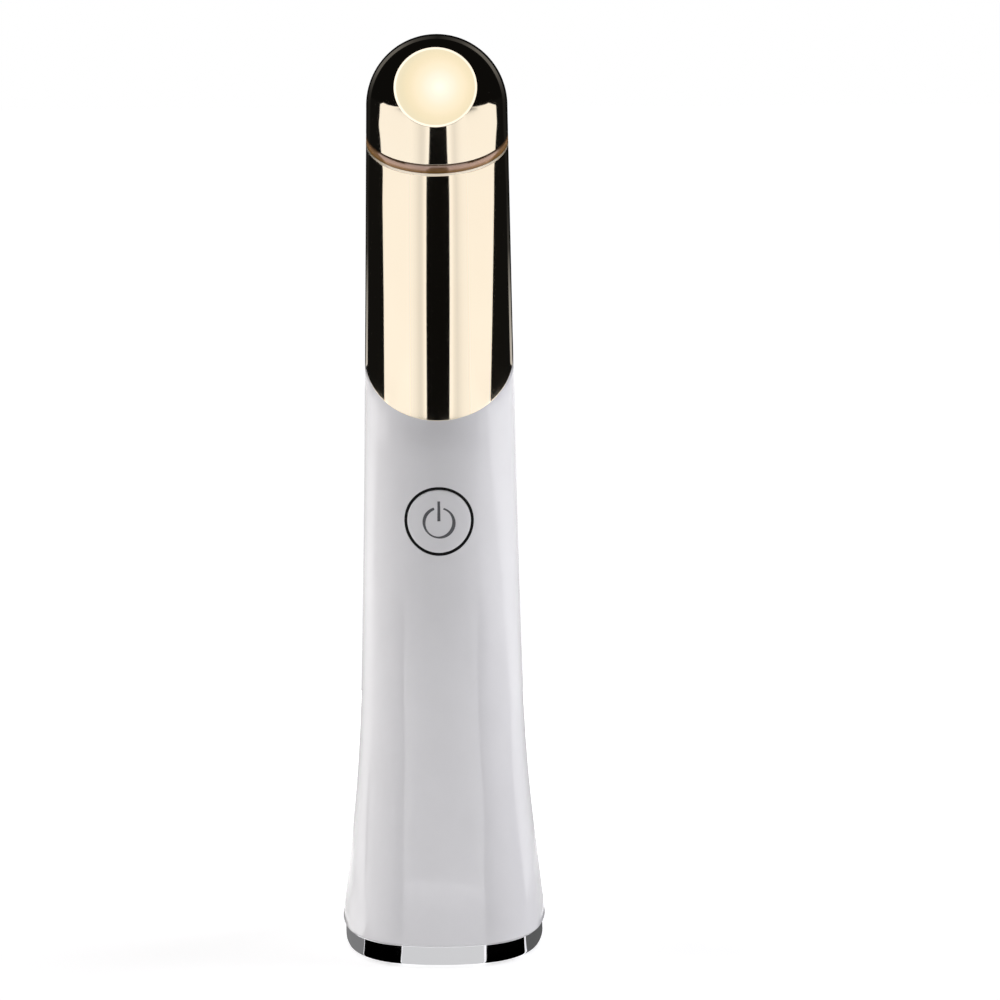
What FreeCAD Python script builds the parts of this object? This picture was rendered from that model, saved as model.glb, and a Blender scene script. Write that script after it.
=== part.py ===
import FreeCAD, Part
import math
import os

import Sketcher
from FreeCAD import Rotation, Vector

# Heated eye massager wand, standing on its foot.
# The origin is the centre of the underside, +Z runs up the wand, and the power button faces -Y.

# Driving dimensions in millimetres, angles in degrees.
SIZES = {
    # Outer form: bowed-square sections that turn round towards the head
    "bow_angle": 15,               # half the angle that each bowed side spans
    "trim_lift": 0.3,              # lower edge of the chrome trim above the table
    "trim_top": 3.4,               # where the chrome trim meets the housing
    "trim_inset": 0.4,             # how far the trim stands inside the housing
    "base_half_width": 15.6,
    "base_bow_radius": 27,
    "flare_height": 13.9,
    "flare_half_width": 14.35,
    "flare_bow_radius": 22,
    "waist_height": 25.9,
    "waist_half_width": 13.1,
    "waist_bow_radius": 17,
    "grip_height": 46.4,
    "grip_half_width": 12.1,
    "grip_bow_radius": 13.4,
    "shoulder_height": 80.4,
    "shoulder_radius": 11.25,
    "head_height": 127.1,          # centre of the dome
    "head_radius": 10.35,
    "base_edge_radius": 0.8,
    # Shells
    "housing_wall": 1.8,
    "sleeve_wall": 0.8,
    "head_wall": 0.8,
    "lap_length": 6,               # neck of the housing inside the sleeve
    "lap_clearance": 0.1,
    "sleeve_seam_height": 90.5,    # where the seam's plane crosses the axis
    "sleeve_seam_angle": 36.7,
    "head_seam_drop": 3.7,         # where its plane crosses the axis, below the dome's centre
    "head_seam_angle": 22.5,
    "insulator_height": 1.25,
    # Contact face of the head
    "facet_angle": 20,             # tilt of its normal above the horizontal
    "facet_distance": 8.4,         # from the dome's centre
    "facet_edge": 0.2,             # width of the bevel round it
    "heater_radius": 5.2,
    "heater_thickness": 0.25,
    "sensor_radius": 0.75,
    "sensor_length": 0.9,
    # Head carrier
    "carrier_clearance": 0.15,     # between the carrier and the head cap
    "carrier_socket_clearance": 0.05,
    "carrier_skirt": 7,            # length that slips over the frame's top
    "carrier_neck_gap": 0.5,       # at least this far above the housing's neck
    "carrier_rise": 3,             # above the head seam
    "carrier_floor": 2,
    "carrier_bore_radius": 6,
    "lead_hole_radius": 1.2,
    "lead_hole_offset": 4.5,       # in front of the axis
    # Power button
    "button_height": 67.3,
    "button_bore_radius": 5.1,
    "button_seal_width": 0.33,
    "button_clearance": 0.05,
    "button_ledge": 9.25,          # flat inside face round the bore, from the axis
    "button_flange_radius": 5.6,
    "button_flange_thickness": 0.7,
    "button_flange_clearance": 0.2,
    "button_stem_radius": 1.3,
    # Tactile switch
    "switch_width": 4.6,
    "switch_thickness": 1.5,
    "plunger_radius": 1,
    "plunger_stand": 0.6,          # plunger above the switch at rest
    "plunger_length": 1.2,
    "plunger_clearance": 0.06,
    "plunger_well": 1.3,
    # Inner frame
    "frame_clearance": 0.3,        # between the frame's foot and the housing
    "frame_foot_bottom": 7.2,
    "frame_foot_thickness": 1.5,
    "frame_radius": 8,
    "frame_wall": 1,
    "frame_top_drop": 12,          # below the head seam
    "frame_front": 3.4,            # the board's seat, in front of the axis
    "frame_rib_thickness": 3,
    "window_width": 6,
    "window_length": 9,
    "window_pitch": 14,
    "window_count": 3,
    # Battery
    "battery_radius": 6.5,
    "battery_length": 45,
    "battery_edge": 0.6,
    "battery_button_radius": 2.2,
    "battery_button_height": 0.8,
    "foam_width": 8,
    "foam_inset": 4,
    "battery_end_gap": 0.3,        # between the cell and the rib above it
    # Circuit board
    "board_half_width": 7.2,
    "board_thickness": 1,
    "board_end_gap": 1.4,          # from the board's ends to its screws
    "board_screw_radius": 0.8,
    "board_screw_head_radius": 1.5,
    "board_screw_head_height": 0.8,
    "board_screw_length": 4,
    "part_gap": 0.7,               # between the switch and the row of parts above it
    "part_pitch": 4.1,
    "chip_width": 3.4,
    "chip_length": 5,
    "chip_thickness": 0.9,
    "coil_radius": 1.8,
    "coil_thickness": 1.6,
    # Vibration motor
    "motor_drop": 17.2,            # the cup's floor below the frame's top
    "motor_radius": 3.5,
    "motor_length": 15,
    "motor_boot_wall": 1,
    "motor_boot_length": 12,
    "motor_cup_wall": 1,
    "motor_cup_length": 10,
    "motor_shaft_radius": 0.5,
    "motor_shaft_clearance": 0.05,
    "motor_shaft_stand": 7,
    "motor_shaft_depth": 4,
    "weight_radius": 2.9,
    "weight_length": 5,
    "weight_gap": 1.5,
    # Foot
    "trim_edge_radius": 0.8,
    "trim_skirt_height": 2.5,
    "trim_skirt_wall": 1.2,
    "trim_clearance": 0.1,
    "plate_half_width": 12.4,
    "plate_bow_radius": 22,
    "plate_bottom": 0.5,
    "plate_thickness": 1.5,
    "plate_ledge": 1.4,            # width of the trim's ledge over the plate
    "plate_clearance": 0.1,
    "pad_inset": 0.5,
    "base_screw_spacing": 17,
    "base_screw_radius": 0.9,
    "base_screw_head_radius": 1.7,
    "base_screw_head_height": 0.9,
    "base_screw_length": 4.5,
    "base_boss_radius": 2.1,
    # Charging socket
    "socket_width": 8.94,
    "socket_depth": 3.26,
    "socket_wall": 0.3,
    "socket_mouth": 0.8,           # height of its mouth above the table
    "socket_clearance": 0.25,
    "tongue_width": 6.7,
    "tongue_thickness": 0.7,
    "tongue_recess": 1.2,
    "port_margin": 0.8,            # the pad's window round the socket
    "charging_board_width": 12,
    "charging_board_depth": 9,
    "charging_board_thickness": 1,
}

doc = FreeCAD.newDocument("EyeMassagerWand")
sheet = doc.addObject("Spreadsheet::Sheet", "Size")
for row, (alias, number) in enumerate(SIZES.items(), start=1):
    sheet.set(f"A{row}", alias)
    sheet.set(f"B{row}", str(number))
    sheet.setAlias(f"B{row}", alias)
doc.recompute()

FAR = "100"                        # reach of a cutting block beyond the wand
NODES = []


# ---------------------------------------------------------------- helpers

def value(expression):
    """The number that an expression of the sheet gives."""
    return float(sheet.evalExpression(expression))


def node(shape_object, name):
    """Names a finished sub-part."""
    shape_object.Label = name
    NODES.append(shape_object)
    return shape_object


def place(shape_object, x="0", y="0", z="0"):
    """Binds a piece's position."""
    for axis, expression in zip("xyz", (x, y, z)):
        shape_object.setExpression(f"Placement.Base.{axis}", expression)
    return shape_object


def tilt(shape_object, angle):
    """Turns a piece about the X axis by an angle of the sheet."""
    shape_object.Placement = FreeCAD.Placement(shape_object.Placement.Base, Rotation(Vector(1, 0, 0), 1))
    shape_object.setExpression("Placement.Rotation.Angle", angle)
    return shape_object


def block(name, length, width, height, x="0", y="0", z="0"):
    """A box centred on x and y that stands on z."""
    box = doc.addObject("Part::Box", name)
    box.setExpression("Length", length)
    box.setExpression("Width", width)
    box.setExpression("Height", height)
    return place(box, f"{x} - ({length}) / 2", f"{y} - ({width}) / 2", z)


def rod(name, radius, length, x="0", y="0", z="0", along="Z"):
    """A cylinder that starts at a point and runs along +Z or +Y."""
    cylinder = doc.addObject("Part::Cylinder", name)
    cylinder.setExpression("Radius", radius)
    cylinder.setExpression("Height", length)
    if along == "Y":
        cylinder.Placement = FreeCAD.Placement(Vector(), Rotation(Vector(1, 0, 0), -90))
    return place(cylinder, x, y, z)


def half_space(name, height, angle, upward):
    """A block above or below the plane that crosses the axis at a height, low in front."""
    box = doc.addObject("Part::Box", name)
    for side in ("Length", "Width", "Height"):
        box.setExpression(side, f"2 * {FAR}")
    tilt(box, angle)
    sink = "0" if upward else f"2 * {FAR}"
    lean = f"({FAR} * cos({angle}) - ({sink}) * sin({angle}))"
    rise = f"({FAR} * sin({angle}) + ({sink}) * cos({angle}))"
    return place(box, f"-{FAR}", f"-{lean}", f"{height} - {rise}")


def cut(name, base, tool):
    """The base without the tool."""
    result = doc.addObject("Part::Cut", name)
    result.Base = base
    result.Tool = tool
    return result


def common(name, *shapes):
    """What all the shapes share."""
    result = doc.addObject("Part::MultiCommon", name)
    result.Shapes = list(shapes)
    return result


def fuse(name, *shapes):
    """One shape from several."""
    result = doc.addObject("Part::MultiFuse", name)
    result.Shapes = list(shapes)
    return result


def new_body(name):
    return doc.addObject("PartDesign::Body", name)


def new_sketch(body, name, role, offset="0"):
    """A sketch on one of the body's own origin planes."""
    sketch = body.newObject("Sketcher::SketchObject", name)
    support = next(feature for feature in body.Origin.OriginFeatures if feature.Role == role)
    sketch.AttachmentSupport = [(support, "")]
    sketch.MapMode = "FlatFace"
    sketch.setExpression("AttachmentOffset.Base.z", offset)
    return sketch


def drive(sketch, kind, geometry, point, expression):
    """A dimension of a sketch that follows the sheet."""
    if kind == "Radius":
        constraint = Sketcher.Constraint(kind, geometry, value(expression))
    else:
        constraint = Sketcher.Constraint(kind, -1, 1, geometry, point, value(expression))
    index = sketch.addConstraint(constraint)
    sketch.setExpression(f"Constraints[{index}]", expression)


def fix(sketch, geometry, point, x, y):
    """Holds a sketch point at x, y."""
    drive(sketch, "DistanceX", geometry, point, x)
    drive(sketch, "DistanceY", geometry, point, y)


def draw_circle(sketch, radius, x="0", y="0"):
    circle = Part.Circle(Vector(value(x), value(y), 0), Vector(0, 0, 1), value(radius))
    index = sketch.addGeometry(circle, False)
    fix(sketch, index, 3, x, y)
    drive(sketch, "Radius", index, 0, radius)


def draw_polygon(sketch, corners):
    """Straight lines through the corners, back to the first."""
    points = [Vector(value(x), value(y), 0) for x, y in corners]
    lines = []
    for start, end in zip(points, points[1:] + points[:1]):
        lines.append(sketch.addGeometry(Part.LineSegment(start, end), False))
    for line, following in zip(lines, lines[1:] + lines[:1]):
        sketch.addConstraint(Sketcher.Constraint("Coincident", line, 2, following, 1))
    for line, (x, y) in zip(lines, corners):
        fix(sketch, line, 1, x, y)


def draw_rectangle(sketch, width, depth, x="0", y="0"):
    """A rectangle centred on x, y."""
    left, right = f"{x} - ({width}) / 2", f"{x} + ({width}) / 2"
    low, high = f"{y} - ({depth}) / 2", f"{y} + ({depth}) / 2"
    draw_polygon(sketch, [(left, low), (right, low), (right, high), (left, high)])


def draw_slot(sketch, width, depth, y="0"):
    """A stadium along X, as wide as it says over its round ends."""
    radius = f"({depth}) / 2"
    reach = f"(({width}) / 2 - {radius})"
    centre = value(reach)
    half = value(radius)
    level = value(y)
    quarter = math.pi / 2
    up = Vector(0, 0, 1)
    right = sketch.addGeometry(
        Part.ArcOfCircle(Part.Circle(Vector(centre, level, 0), up, half), -quarter, quarter), False)
    left = sketch.addGeometry(
        Part.ArcOfCircle(Part.Circle(Vector(-centre, level, 0), up, half), quarter, 3 * quarter), False)
    top = sketch.addGeometry(
        Part.LineSegment(Vector(centre, level + half, 0), Vector(-centre, level + half, 0)), False)
    low = sketch.addGeometry(
        Part.LineSegment(Vector(-centre, level - half, 0), Vector(centre, level - half, 0)), False)
    for first, first_end, second, second_end in (
            (right, 2, top, 1), (top, 2, left, 1), (left, 2, low, 1), (low, 2, right, 1)):
        sketch.addConstraint(Sketcher.Constraint("Coincident", first, first_end, second, second_end))
    for arc, centre_x in ((right, reach), (left, f"-{reach}")):
        fix(sketch, arc, 3, centre_x, y)
        drive(sketch, "Radius", arc, 0, radius)
        drive(sketch, "DistanceX", arc, 1, centre_x)
        drive(sketch, "DistanceX", arc, 2, centre_x)


def draw_bowed_square(sketch, half_width, bow_radius):
    """Four shallow arcs joined by four tangent corner arcs; a circle where both sizes are equal."""
    slack = f"({bow_radius} - {half_width})"
    corner_radius = f"({bow_radius} - {slack} / (cos(Size.bow_angle) - sin(Size.bow_angle)))"
    far = f"({bow_radius} * cos(Size.bow_angle) - {slack})"
    near = f"({bow_radius} * sin(Size.bow_angle))"
    corners = [(far, near), (near, far), (f"-{near}", far), (f"-{far}", near),
               (f"-{far}", f"-{near}"), (f"-{near}", f"-{far}"), (near, f"-{far}"), (far, f"-{near}")]
    half_angle = math.radians(value("Size.bow_angle"))
    corner_reach = (value(bow_radius) - value(corner_radius)) * math.sin(half_angle)
    sides = []
    turns = []
    for quarter in range(4):
        turn = quarter * math.pi / 2
        along = Vector(math.cos(turn), math.sin(turn), 0)
        across = Vector(-math.sin(turn), math.cos(turn), 0)
        side = Part.Circle(along * -value(slack), Vector(0, 0, 1), value(bow_radius))
        sides.append(sketch.addGeometry(
            Part.ArcOfCircle(side, turn - half_angle, turn + half_angle), False))
        corner = Part.Circle((along + across) * corner_reach, Vector(0, 0, 1), value(corner_radius))
        turns.append(sketch.addGeometry(
            Part.ArcOfCircle(corner, turn + half_angle, turn + math.pi / 2 - half_angle), False))
    for quarter in range(4):
        sketch.addConstraint(Sketcher.Constraint("Coincident", sides[quarter], 2, turns[quarter], 1))
        sketch.addConstraint(
            Sketcher.Constraint("Coincident", turns[quarter], 2, sides[(quarter + 1) % 4], 1))
        fix(sketch, sides[quarter], 1, *corners[2 * quarter - 1])
        fix(sketch, sides[quarter], 2, *corners[2 * quarter])
        drive(sketch, "Radius", sides[quarter], 0, bow_radius)
        drive(sketch, "Radius", turns[quarter], 0, corner_radius)


def pad(body, sketch, length, name="Pad"):
    """Extrudes a sketch along its own normal."""
    feature = body.newObject("PartDesign::Pad", name)
    feature.Profile = sketch
    feature.setExpression("Length", length)
    sketch.Visibility = False
    return feature


def pocket(body, sketch, length, name="Pocket", along_normal=False):
    """Cuts a sketch into the body, against its normal unless it says otherwise."""
    before = body.Shape.Volume
    feature = body.newObject("PartDesign::Pocket", name)
    feature.Profile = sketch
    feature.Reversed = along_normal
    feature.setExpression("Length", length)
    doc.recompute()
    if feature.Shape.Volume >= before:
        raise RuntimeError(f"{body.Name}: {name} cuts nothing")
    return feature


def turn_body(name, profile, x="0", y="0", z="0"):
    """A body revolved about Z from a closed profile of radius and height."""
    body = new_body(name)
    sketch = new_sketch(body, f"{name}_profile", "XZ_Plane")
    draw_polygon(sketch, profile)
    feature = body.newObject("PartDesign::Revolution", f"{name}_turn")
    feature.Profile = sketch
    feature.ReferenceAxis = (sketch, ["V_Axis"])
    feature.Angle = 360
    return place(body, x, y, z)


# ---------------------------------------------------------------- outer form

FLARE = (
    ("Size.trim_top", "Size.base_half_width", "Size.base_bow_radius"),
    ("Size.flare_height", "Size.flare_half_width", "Size.flare_bow_radius"),
    ("Size.waist_height", "Size.waist_half_width", "Size.waist_bow_radius"),
    ("Size.grip_height", "Size.grip_half_width", "Size.grip_bow_radius"),
)
SHAFT = (
    ("Size.grip_height", "Size.grip_half_width", "Size.grip_bow_radius"),
    ("Size.shoulder_height", "Size.shoulder_radius", "Size.shoulder_radius"),
    ("Size.head_height", "Size.head_radius", "Size.head_radius"),
)


def wand_form(name, inset):
    """The wand's flared column, drawn in by an inset all round."""
    body = new_body(name)
    for part, stations in (("flare", FLARE), ("shaft", SHAFT)):
        sketches = []
        for number, (height, half_width, bow_radius) in enumerate(stations):
            sketch = new_sketch(body, f"{name}_{part}{number}", "XY_Plane", height)
            draw_bowed_square(sketch, f"({half_width} - {inset})", f"({bow_radius} - {inset})")
            sketches.append(sketch)
        loft = body.newObject("PartDesign::AdditiveLoft", f"{name}_{part}_loft")
        loft.Profile = sketches[0]
        loft.Sections = sketches[1:]
        doc.recompute()
    return body


def edges_at_height(shape, height):
    """Names of the edges that lie in the level plane at a height."""
    names = []
    for number, edge in enumerate(shape.Edges, start=1):
        box = edge.BoundBox
        if abs(box.ZMin - height) < 1e-4 and abs(box.ZMax - height) < 1e-4:
            names.append(f"Edge{number}")
    return names


def round_edges(body, radius, height, name="Round"):
    """Fillets the body's edges that lie at a height."""
    doc.recompute()
    base = body.Tip
    feature = body.newObject("PartDesign::Fillet", name)
    feature.Base = (base, edges_at_height(base.Shape, value(height)))
    feature.setExpression("Radius", radius)
    doc.recompute()
    return feature


outer_form = wand_form("outer_form", "0")
round_edges(outer_form, "Size.base_edge_radius", "Size.trim_top", "foot_round")
lap_form = wand_form("lap_form", "(Size.sleeve_wall + Size.lap_clearance)")
sleeve_cavity = wand_form("sleeve_cavity", "Size.sleeve_wall")
housing_cavity = wand_form("housing_cavity", "Size.housing_wall")
frame_fit = wand_form("frame_fit", "(Size.housing_wall + Size.frame_clearance)")
trim_fit = wand_form("trim_fit", "(Size.housing_wall + Size.trim_clearance)")


def dome_top(name, radius):
    """Half ball over the head's centre."""
    ball = doc.addObject("Part::Sphere", name)
    ball.setExpression("Radius", radius)
    ball.Angle1 = 0
    return place(ball, z="Size.head_height")


domed_form = fuse("domed_form", outer_form, dome_top("dome_ball", "Size.head_radius"))


# ---------------------------------------------------------------- main housing and power button

SLEEVE_SEAM = ("Size.sleeve_seam_height", "Size.sleeve_seam_angle")
HEAD_SEAM_HEIGHT = "(Size.head_height - Size.head_seam_drop)"
INSULATOR_LOW = (f"({HEAD_SEAM_HEIGHT} - Size.insulator_height)", "Size.head_seam_angle")
HEAD_SEAM = (HEAD_SEAM_HEIGHT, "Size.head_seam_angle")
FRAME_TOP = f"({HEAD_SEAM_HEIGHT} - Size.frame_top_drop)"
BUTTON_BACK = "-(Size.button_ledge - Size.button_clearance)"
BUTTON_FAR = f"-{FAR}"


def make_main_housing():
    """The flared white shell, with a neck that the sleeve slips over and the button's bore."""
    skin = common("housing_skin", outer_form, half_space("below_sleeve", *SLEEVE_SEAM, False))
    neck_top = ("(Size.sleeve_seam_height + Size.lap_length)", "Size.sleeve_seam_angle")
    neck = common("housing_neck", lap_form, half_space("below_neck", *neck_top, False))
    solid = fuse("housing_solid", skin, neck)
    hollow = cut("housing_hollow", solid, housing_cavity)
    bore = rod("button_bore", "Size.button_bore_radius", FAR, y=BUTTON_FAR, z="Size.button_height", along="Y")
    seat_radius = "Size.button_flange_radius + Size.button_flange_clearance"
    seat = rod("button_seat", seat_radius, "Size.button_ledge",
               y="-Size.button_ledge", z="Size.button_height", along="Y")
    node(cut("housing_cut", hollow, fuse("button_hole", bore, seat)), "main_housing")


def make_button_seal():
    """Black ring that lines the bore and ends flush with the housing."""
    length = f"({FAR} - Size.button_ledge)"
    outside = rod("seal_outside", "Size.button_bore_radius", length,
                  y=BUTTON_FAR, z="Size.button_height", along="Y")
    inside = rod("seal_inside", "Size.button_bore_radius - Size.button_seal_width", FAR,
                 y=BUTTON_FAR, z="Size.button_height", along="Y")
    tube = cut("seal_tube", outside, inside)
    node(common("seal_ring", tube, outer_form), "button_seal")


def make_power_button():
    """Flush cap with a flange behind the wall and a stem that meets the switch."""
    cap_radius = "Size.button_bore_radius - Size.button_seal_width - Size.button_clearance"
    cap = rod("button_cap", cap_radius, f"({FAR} + {BUTTON_BACK})",
              y=BUTTON_FAR, z="Size.button_height", along="Y")
    flush_cap = common("button_flush_cap", cap, outer_form)
    flange = rod("button_flange", "Size.button_flange_radius", "Size.button_flange_thickness",
                 y=BUTTON_BACK, z="Size.button_height", along="Y")
    stem_length = f"(-({BUTTON_BACK}) - {PLUNGER_TOP})"
    stem = rod("button_stem", "Size.button_stem_radius", stem_length,
               y=BUTTON_BACK, z="Size.button_height", along="Y")
    node(fuse("button_fused", flush_cap, flange, stem), "power_button")


# ---------------------------------------------------------------- tactile switch on the board

BOARD_FACE = "(Size.frame_front + Size.board_thickness)"
SWITCH_TOP = f"({BOARD_FACE} + Size.switch_thickness)"
PLUNGER_TOP = f"({SWITCH_TOP} + Size.plunger_stand)"


def make_switch():
    """Square switch body with a well, and the round plunger that the button pushes."""
    case = block("switch_case", "Size.switch_width", "Size.switch_thickness", "Size.switch_width",
                 y=f"-({BOARD_FACE} + Size.switch_thickness / 2)",
                 z="Size.button_height - Size.switch_width / 2")
    well = rod("switch_well", "Size.plunger_radius + Size.plunger_clearance", "Size.plunger_well",
               y=f"-{SWITCH_TOP}", z="Size.button_height", along="Y")
    node(cut("switch_cut", case, well), "switch_body")
    plunger = rod("plunger_pin", "Size.plunger_radius", "Size.plunger_length",
                  y=f"-{PLUNGER_TOP}", z="Size.button_height", along="Y")
    node(plunger, "switch_plunger")


# ---------------------------------------------------------------- sleeve, insulator and head

def make_gold_sleeve():
    """Thin upper grip shell between the two slanted seams."""
    above = common("sleeve_above", outer_form, half_space("above_sleeve_seam", *SLEEVE_SEAM, True))
    band = common("sleeve_band", above, half_space("below_insulator", *INSULATOR_LOW, False))
    node(cut("sleeve_shell", band, sleeve_cavity), "gold_sleeve")


def dome(name, radius):
    """Column with a round top, centred on the head."""
    column = rod(f"{name}_column", radius, "Size.head_height")
    return fuse(name, dome_top(f"{name}_ball", radius), column)


def facet_block(name, distance):
    """Everything in front of the contact face's plane, at a distance from the dome's centre."""
    box = doc.addObject("Part::Box", name)
    for side in ("Length", "Width", "Height"):
        box.setExpression(side, f"2 * {FAR}")
    # The box stands on the plane, its own +Z turned to the face's normal.
    tilt(box, "90 - Size.facet_angle")
    out = f"({distance})"
    lean = f"({out} * cos(Size.facet_angle) + {FAR} * sin(Size.facet_angle))"
    rise = f"({out} * sin(Size.facet_angle) - {FAR} * cos(Size.facet_angle))"
    return place(box, f"-{FAR}", f"-{lean}", f"Size.head_height + {rise}")


def facet_cone(name):
    """Cone whose flat top is the contact face and whose side bevels the face's edge."""
    slope = "(acos(Size.facet_distance / Size.head_radius) / 2)"
    face_radius = "sqrt(Size.head_radius^2 - Size.facet_distance^2)"
    depth = f"({FAR} / 2)"
    cone = doc.addObject("Part::Cone", name)
    cone.setExpression("Radius2", f"{face_radius} - Size.facet_edge")
    cone.setExpression("Radius1", f"{face_radius} - Size.facet_edge + {depth} / tan({slope})")
    cone.setExpression("Height", depth)
    tilt(cone, "90 - Size.facet_angle")
    base = f"(Size.facet_distance - {depth})"
    return place(cone, "0", f"-{base} * cos(Size.facet_angle)",
                 f"Size.head_height + {base} * sin(Size.facet_angle)")


def facet_disc(name, radius, near, thickness):
    """A disc behind the contact face, its near side at a distance from the dome's centre."""
    disc = doc.addObject("Part::Cylinder", name)
    disc.setExpression("Radius", radius)
    disc.setExpression("Height", thickness)
    tilt(disc, "90 - Size.facet_angle")
    return place(disc, "0", f"-({near}) * cos(Size.facet_angle)",
                 f"Size.head_height + ({near}) * sin(Size.facet_angle)")


CARRIER_RADIUS = "(Size.head_radius - Size.head_wall - Size.carrier_clearance)"
HEATER_FRONT = "(Size.facet_distance - Size.head_wall)"
HEATER_BACK = f"({HEATER_FRONT} - Size.heater_thickness)"


def make_insulating_ring():
    """Thin slanted band that keeps the head's heat off the sleeve."""
    above = common("insulator_above", domed_form, half_space("above_insulator_low", *INSULATOR_LOW, True))
    band = common("insulator_band", above, half_space("below_head_seam", *HEAD_SEAM, False))
    bore = rod("insulator_bore", f"{CARRIER_RADIUS} + Size.carrier_clearance / 2", f"2 * {FAR}")
    node(cut("insulator_shell", band, bore), "insulating_ring")


def make_head_cap():
    """Hollow metal dome with the flat round contact face."""
    above = common("head_above", domed_form, half_space("above_head_seam", *HEAD_SEAM, True))
    faced = common("head_faced", above, facet_cone("facet_plane"))
    cavity = cut("head_cavity", dome("head_room", "Size.head_radius - Size.head_wall"),
                 facet_block("cavity_plane", HEATER_FRONT))
    node(cut("head_shell", faced, cavity), "head_cap")


def make_heater():
    """Film heater behind the contact face, with its temperature sensor."""
    film = facet_disc("heater_disc", "Size.heater_radius", HEATER_BACK, "Size.heater_thickness")
    node(film, "heater_film")
    sensor = facet_disc("sensor_bead", "Size.sensor_radius",
                        f"{HEATER_BACK} - Size.sensor_length", "Size.sensor_length")
    node(sensor, "temperature_sensor")


def make_head_carrier():
    """Plug that joins the head cap and the insulator to the frame, with room for the motor's weight."""
    top = (f"({HEAD_SEAM_HEIGHT} + Size.carrier_rise)", "Size.head_seam_angle")
    ceiling = (f"({HEAD_SEAM_HEIGHT} + Size.carrier_rise - Size.carrier_floor)", "Size.head_seam_angle")
    neck = ("(Size.sleeve_seam_height + Size.lap_length + Size.carrier_neck_gap)", "Size.sleeve_seam_angle")
    body = common("carrier_body", dome("carrier_form", CARRIER_RADIUS),
                  half_space("below_carrier_top", *top, False),
                  half_space("above_carrier_neck", *neck, True))
    below = rod("carrier_below", "2 * Size.head_radius", f"{FRAME_TOP} - Size.carrier_skirt")
    room = common("carrier_room", rod("carrier_bore", "Size.carrier_bore_radius", f"2 * {FAR}"),
                  half_space("below_carrier_ceiling", *ceiling, False))
    socket = rod("carrier_socket", "Size.frame_radius + Size.carrier_socket_clearance", FRAME_TOP)
    lead_hole = rod("carrier_lead_hole", "Size.lead_hole_radius", f"2 * {FAR}", y="-Size.lead_hole_offset")
    tools = fuse("carrier_tools", below, room, socket, lead_hole)
    node(cut("carrier_cut", body, tools), "head_carrier")


# ---------------------------------------------------------------- inner frame

FOOT_TOP = "(Size.frame_foot_bottom + Size.frame_foot_thickness)"
BATTERY_BOTTOM = FOOT_TOP
BATTERY_TOP = f"({BATTERY_BOTTOM} + Size.battery_length + Size.battery_button_height)"
MOTOR_FLOOR = f"({FRAME_TOP} - Size.motor_drop)"
LOWER_SCREW = f"({BATTERY_TOP} + Size.battery_end_gap + Size.frame_rib_thickness / 2)"
UPPER_SCREW = f"({MOTOR_FLOOR} - Size.frame_rib_thickness / 2)"
BOARD_SCREWS = (LOWER_SCREW, UPPER_SCREW)
FRAME_BORE = "(Size.frame_radius - Size.frame_wall)"
CUP_BORE = "(Size.motor_radius + Size.motor_boot_wall)"
PLATE_TOP = "(Size.plate_bottom + Size.plate_thickness)"
BASE_SCREWS = ("-Size.base_screw_spacing / 2", "Size.base_screw_spacing / 2")


def frame_slice(body, name, bottom, length, radius, bore=None):
    """A round disc or tube of the frame."""
    sketch = new_sketch(body, f"{name}_sketch", "XY_Plane", bottom)
    draw_circle(sketch, radius)
    if bore:
        draw_circle(sketch, bore)
    pad(body, sketch, length, name)


def make_inner_frame():
    """Cradle for the battery, seat for the board and cup for the motor, on a foot that closes the housing."""
    body = new_body("frame_body")
    tube_length = f"({FRAME_TOP} - {FOOT_TOP})"
    frame_slice(body, "frame_tube", FOOT_TOP, tube_length, "Size.frame_radius", FRAME_BORE)
    doc.recompute()
    for number, height in enumerate(BOARD_SCREWS):
        frame_slice(body, f"frame_rib{number}", f"{height} - Size.frame_rib_thickness / 2",
                    "Size.frame_rib_thickness", f"{FRAME_BORE} + Size.frame_wall / 2")
    doc.recompute()
    front = new_sketch(body, "front_sketch", "XY_Plane", FOOT_TOP)
    draw_rectangle(front, "4 * Size.frame_radius", "2 * Size.frame_radius",
                   y="-Size.frame_front - Size.frame_radius")
    pocket(body, front, tube_length, "front_cut", along_normal=True)
    frame_slice(body, "motor_cup", MOTOR_FLOOR, "Size.motor_cup_length",
                f"{CUP_BORE} + Size.motor_cup_wall", CUP_BORE)
    doc.recompute()
    make_frame_windows(body)
    for number, height in enumerate(BOARD_SCREWS):
        hole = new_sketch(body, f"pilot_sketch{number}", "XZ_Plane", "Size.frame_front")
        draw_circle(hole, "Size.board_screw_radius", y=height)
        pocket(body, hole, "Size.board_screw_length", f"pilot{number}")
    slab = block("foot_slab", FAR, FAR, "Size.frame_foot_thickness", z="Size.frame_foot_bottom")
    foot = common("frame_foot", frame_fit, slab)
    posts = [rod(f"boss{number}", "Size.base_boss_radius", f"{FOOT_TOP} - {PLATE_TOP}", x=x, z=PLATE_TOP)
             for number, x in enumerate(BASE_SCREWS)]
    pilots = [rod(f"boss_pilot{number}", "Size.base_screw_radius", "Size.base_screw_length",
                  x=x, z="Size.plate_bottom") for number, x in enumerate(BASE_SCREWS)]
    solid = fuse("frame_solid", body, foot, *posts)
    node(cut("frame_drilled", solid, fuse("frame_pilots", *pilots)), "inner_frame")


def make_frame_windows(body):
    """Row of windows through the back of the battery cradle."""
    first = f"({BATTERY_BOTTOM} + Size.window_length)"
    sketch = new_sketch(body, "window_sketch", "XZ_Plane")
    draw_rectangle(sketch, "Size.window_width", "Size.window_length", y=first)
    window = pocket(body, sketch, FAR, "window")
    row = body.newObject("PartDesign::LinearPattern", "window_row")
    row.Originals = [window]
    row.Direction = (sketch, ["V_Axis"])
    row.setExpression("Length", "Size.window_pitch * (Size.window_count - 1)")
    row.setExpression("Occurrences", "Size.window_count")
    body.Tip = row
    doc.recompute()


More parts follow.
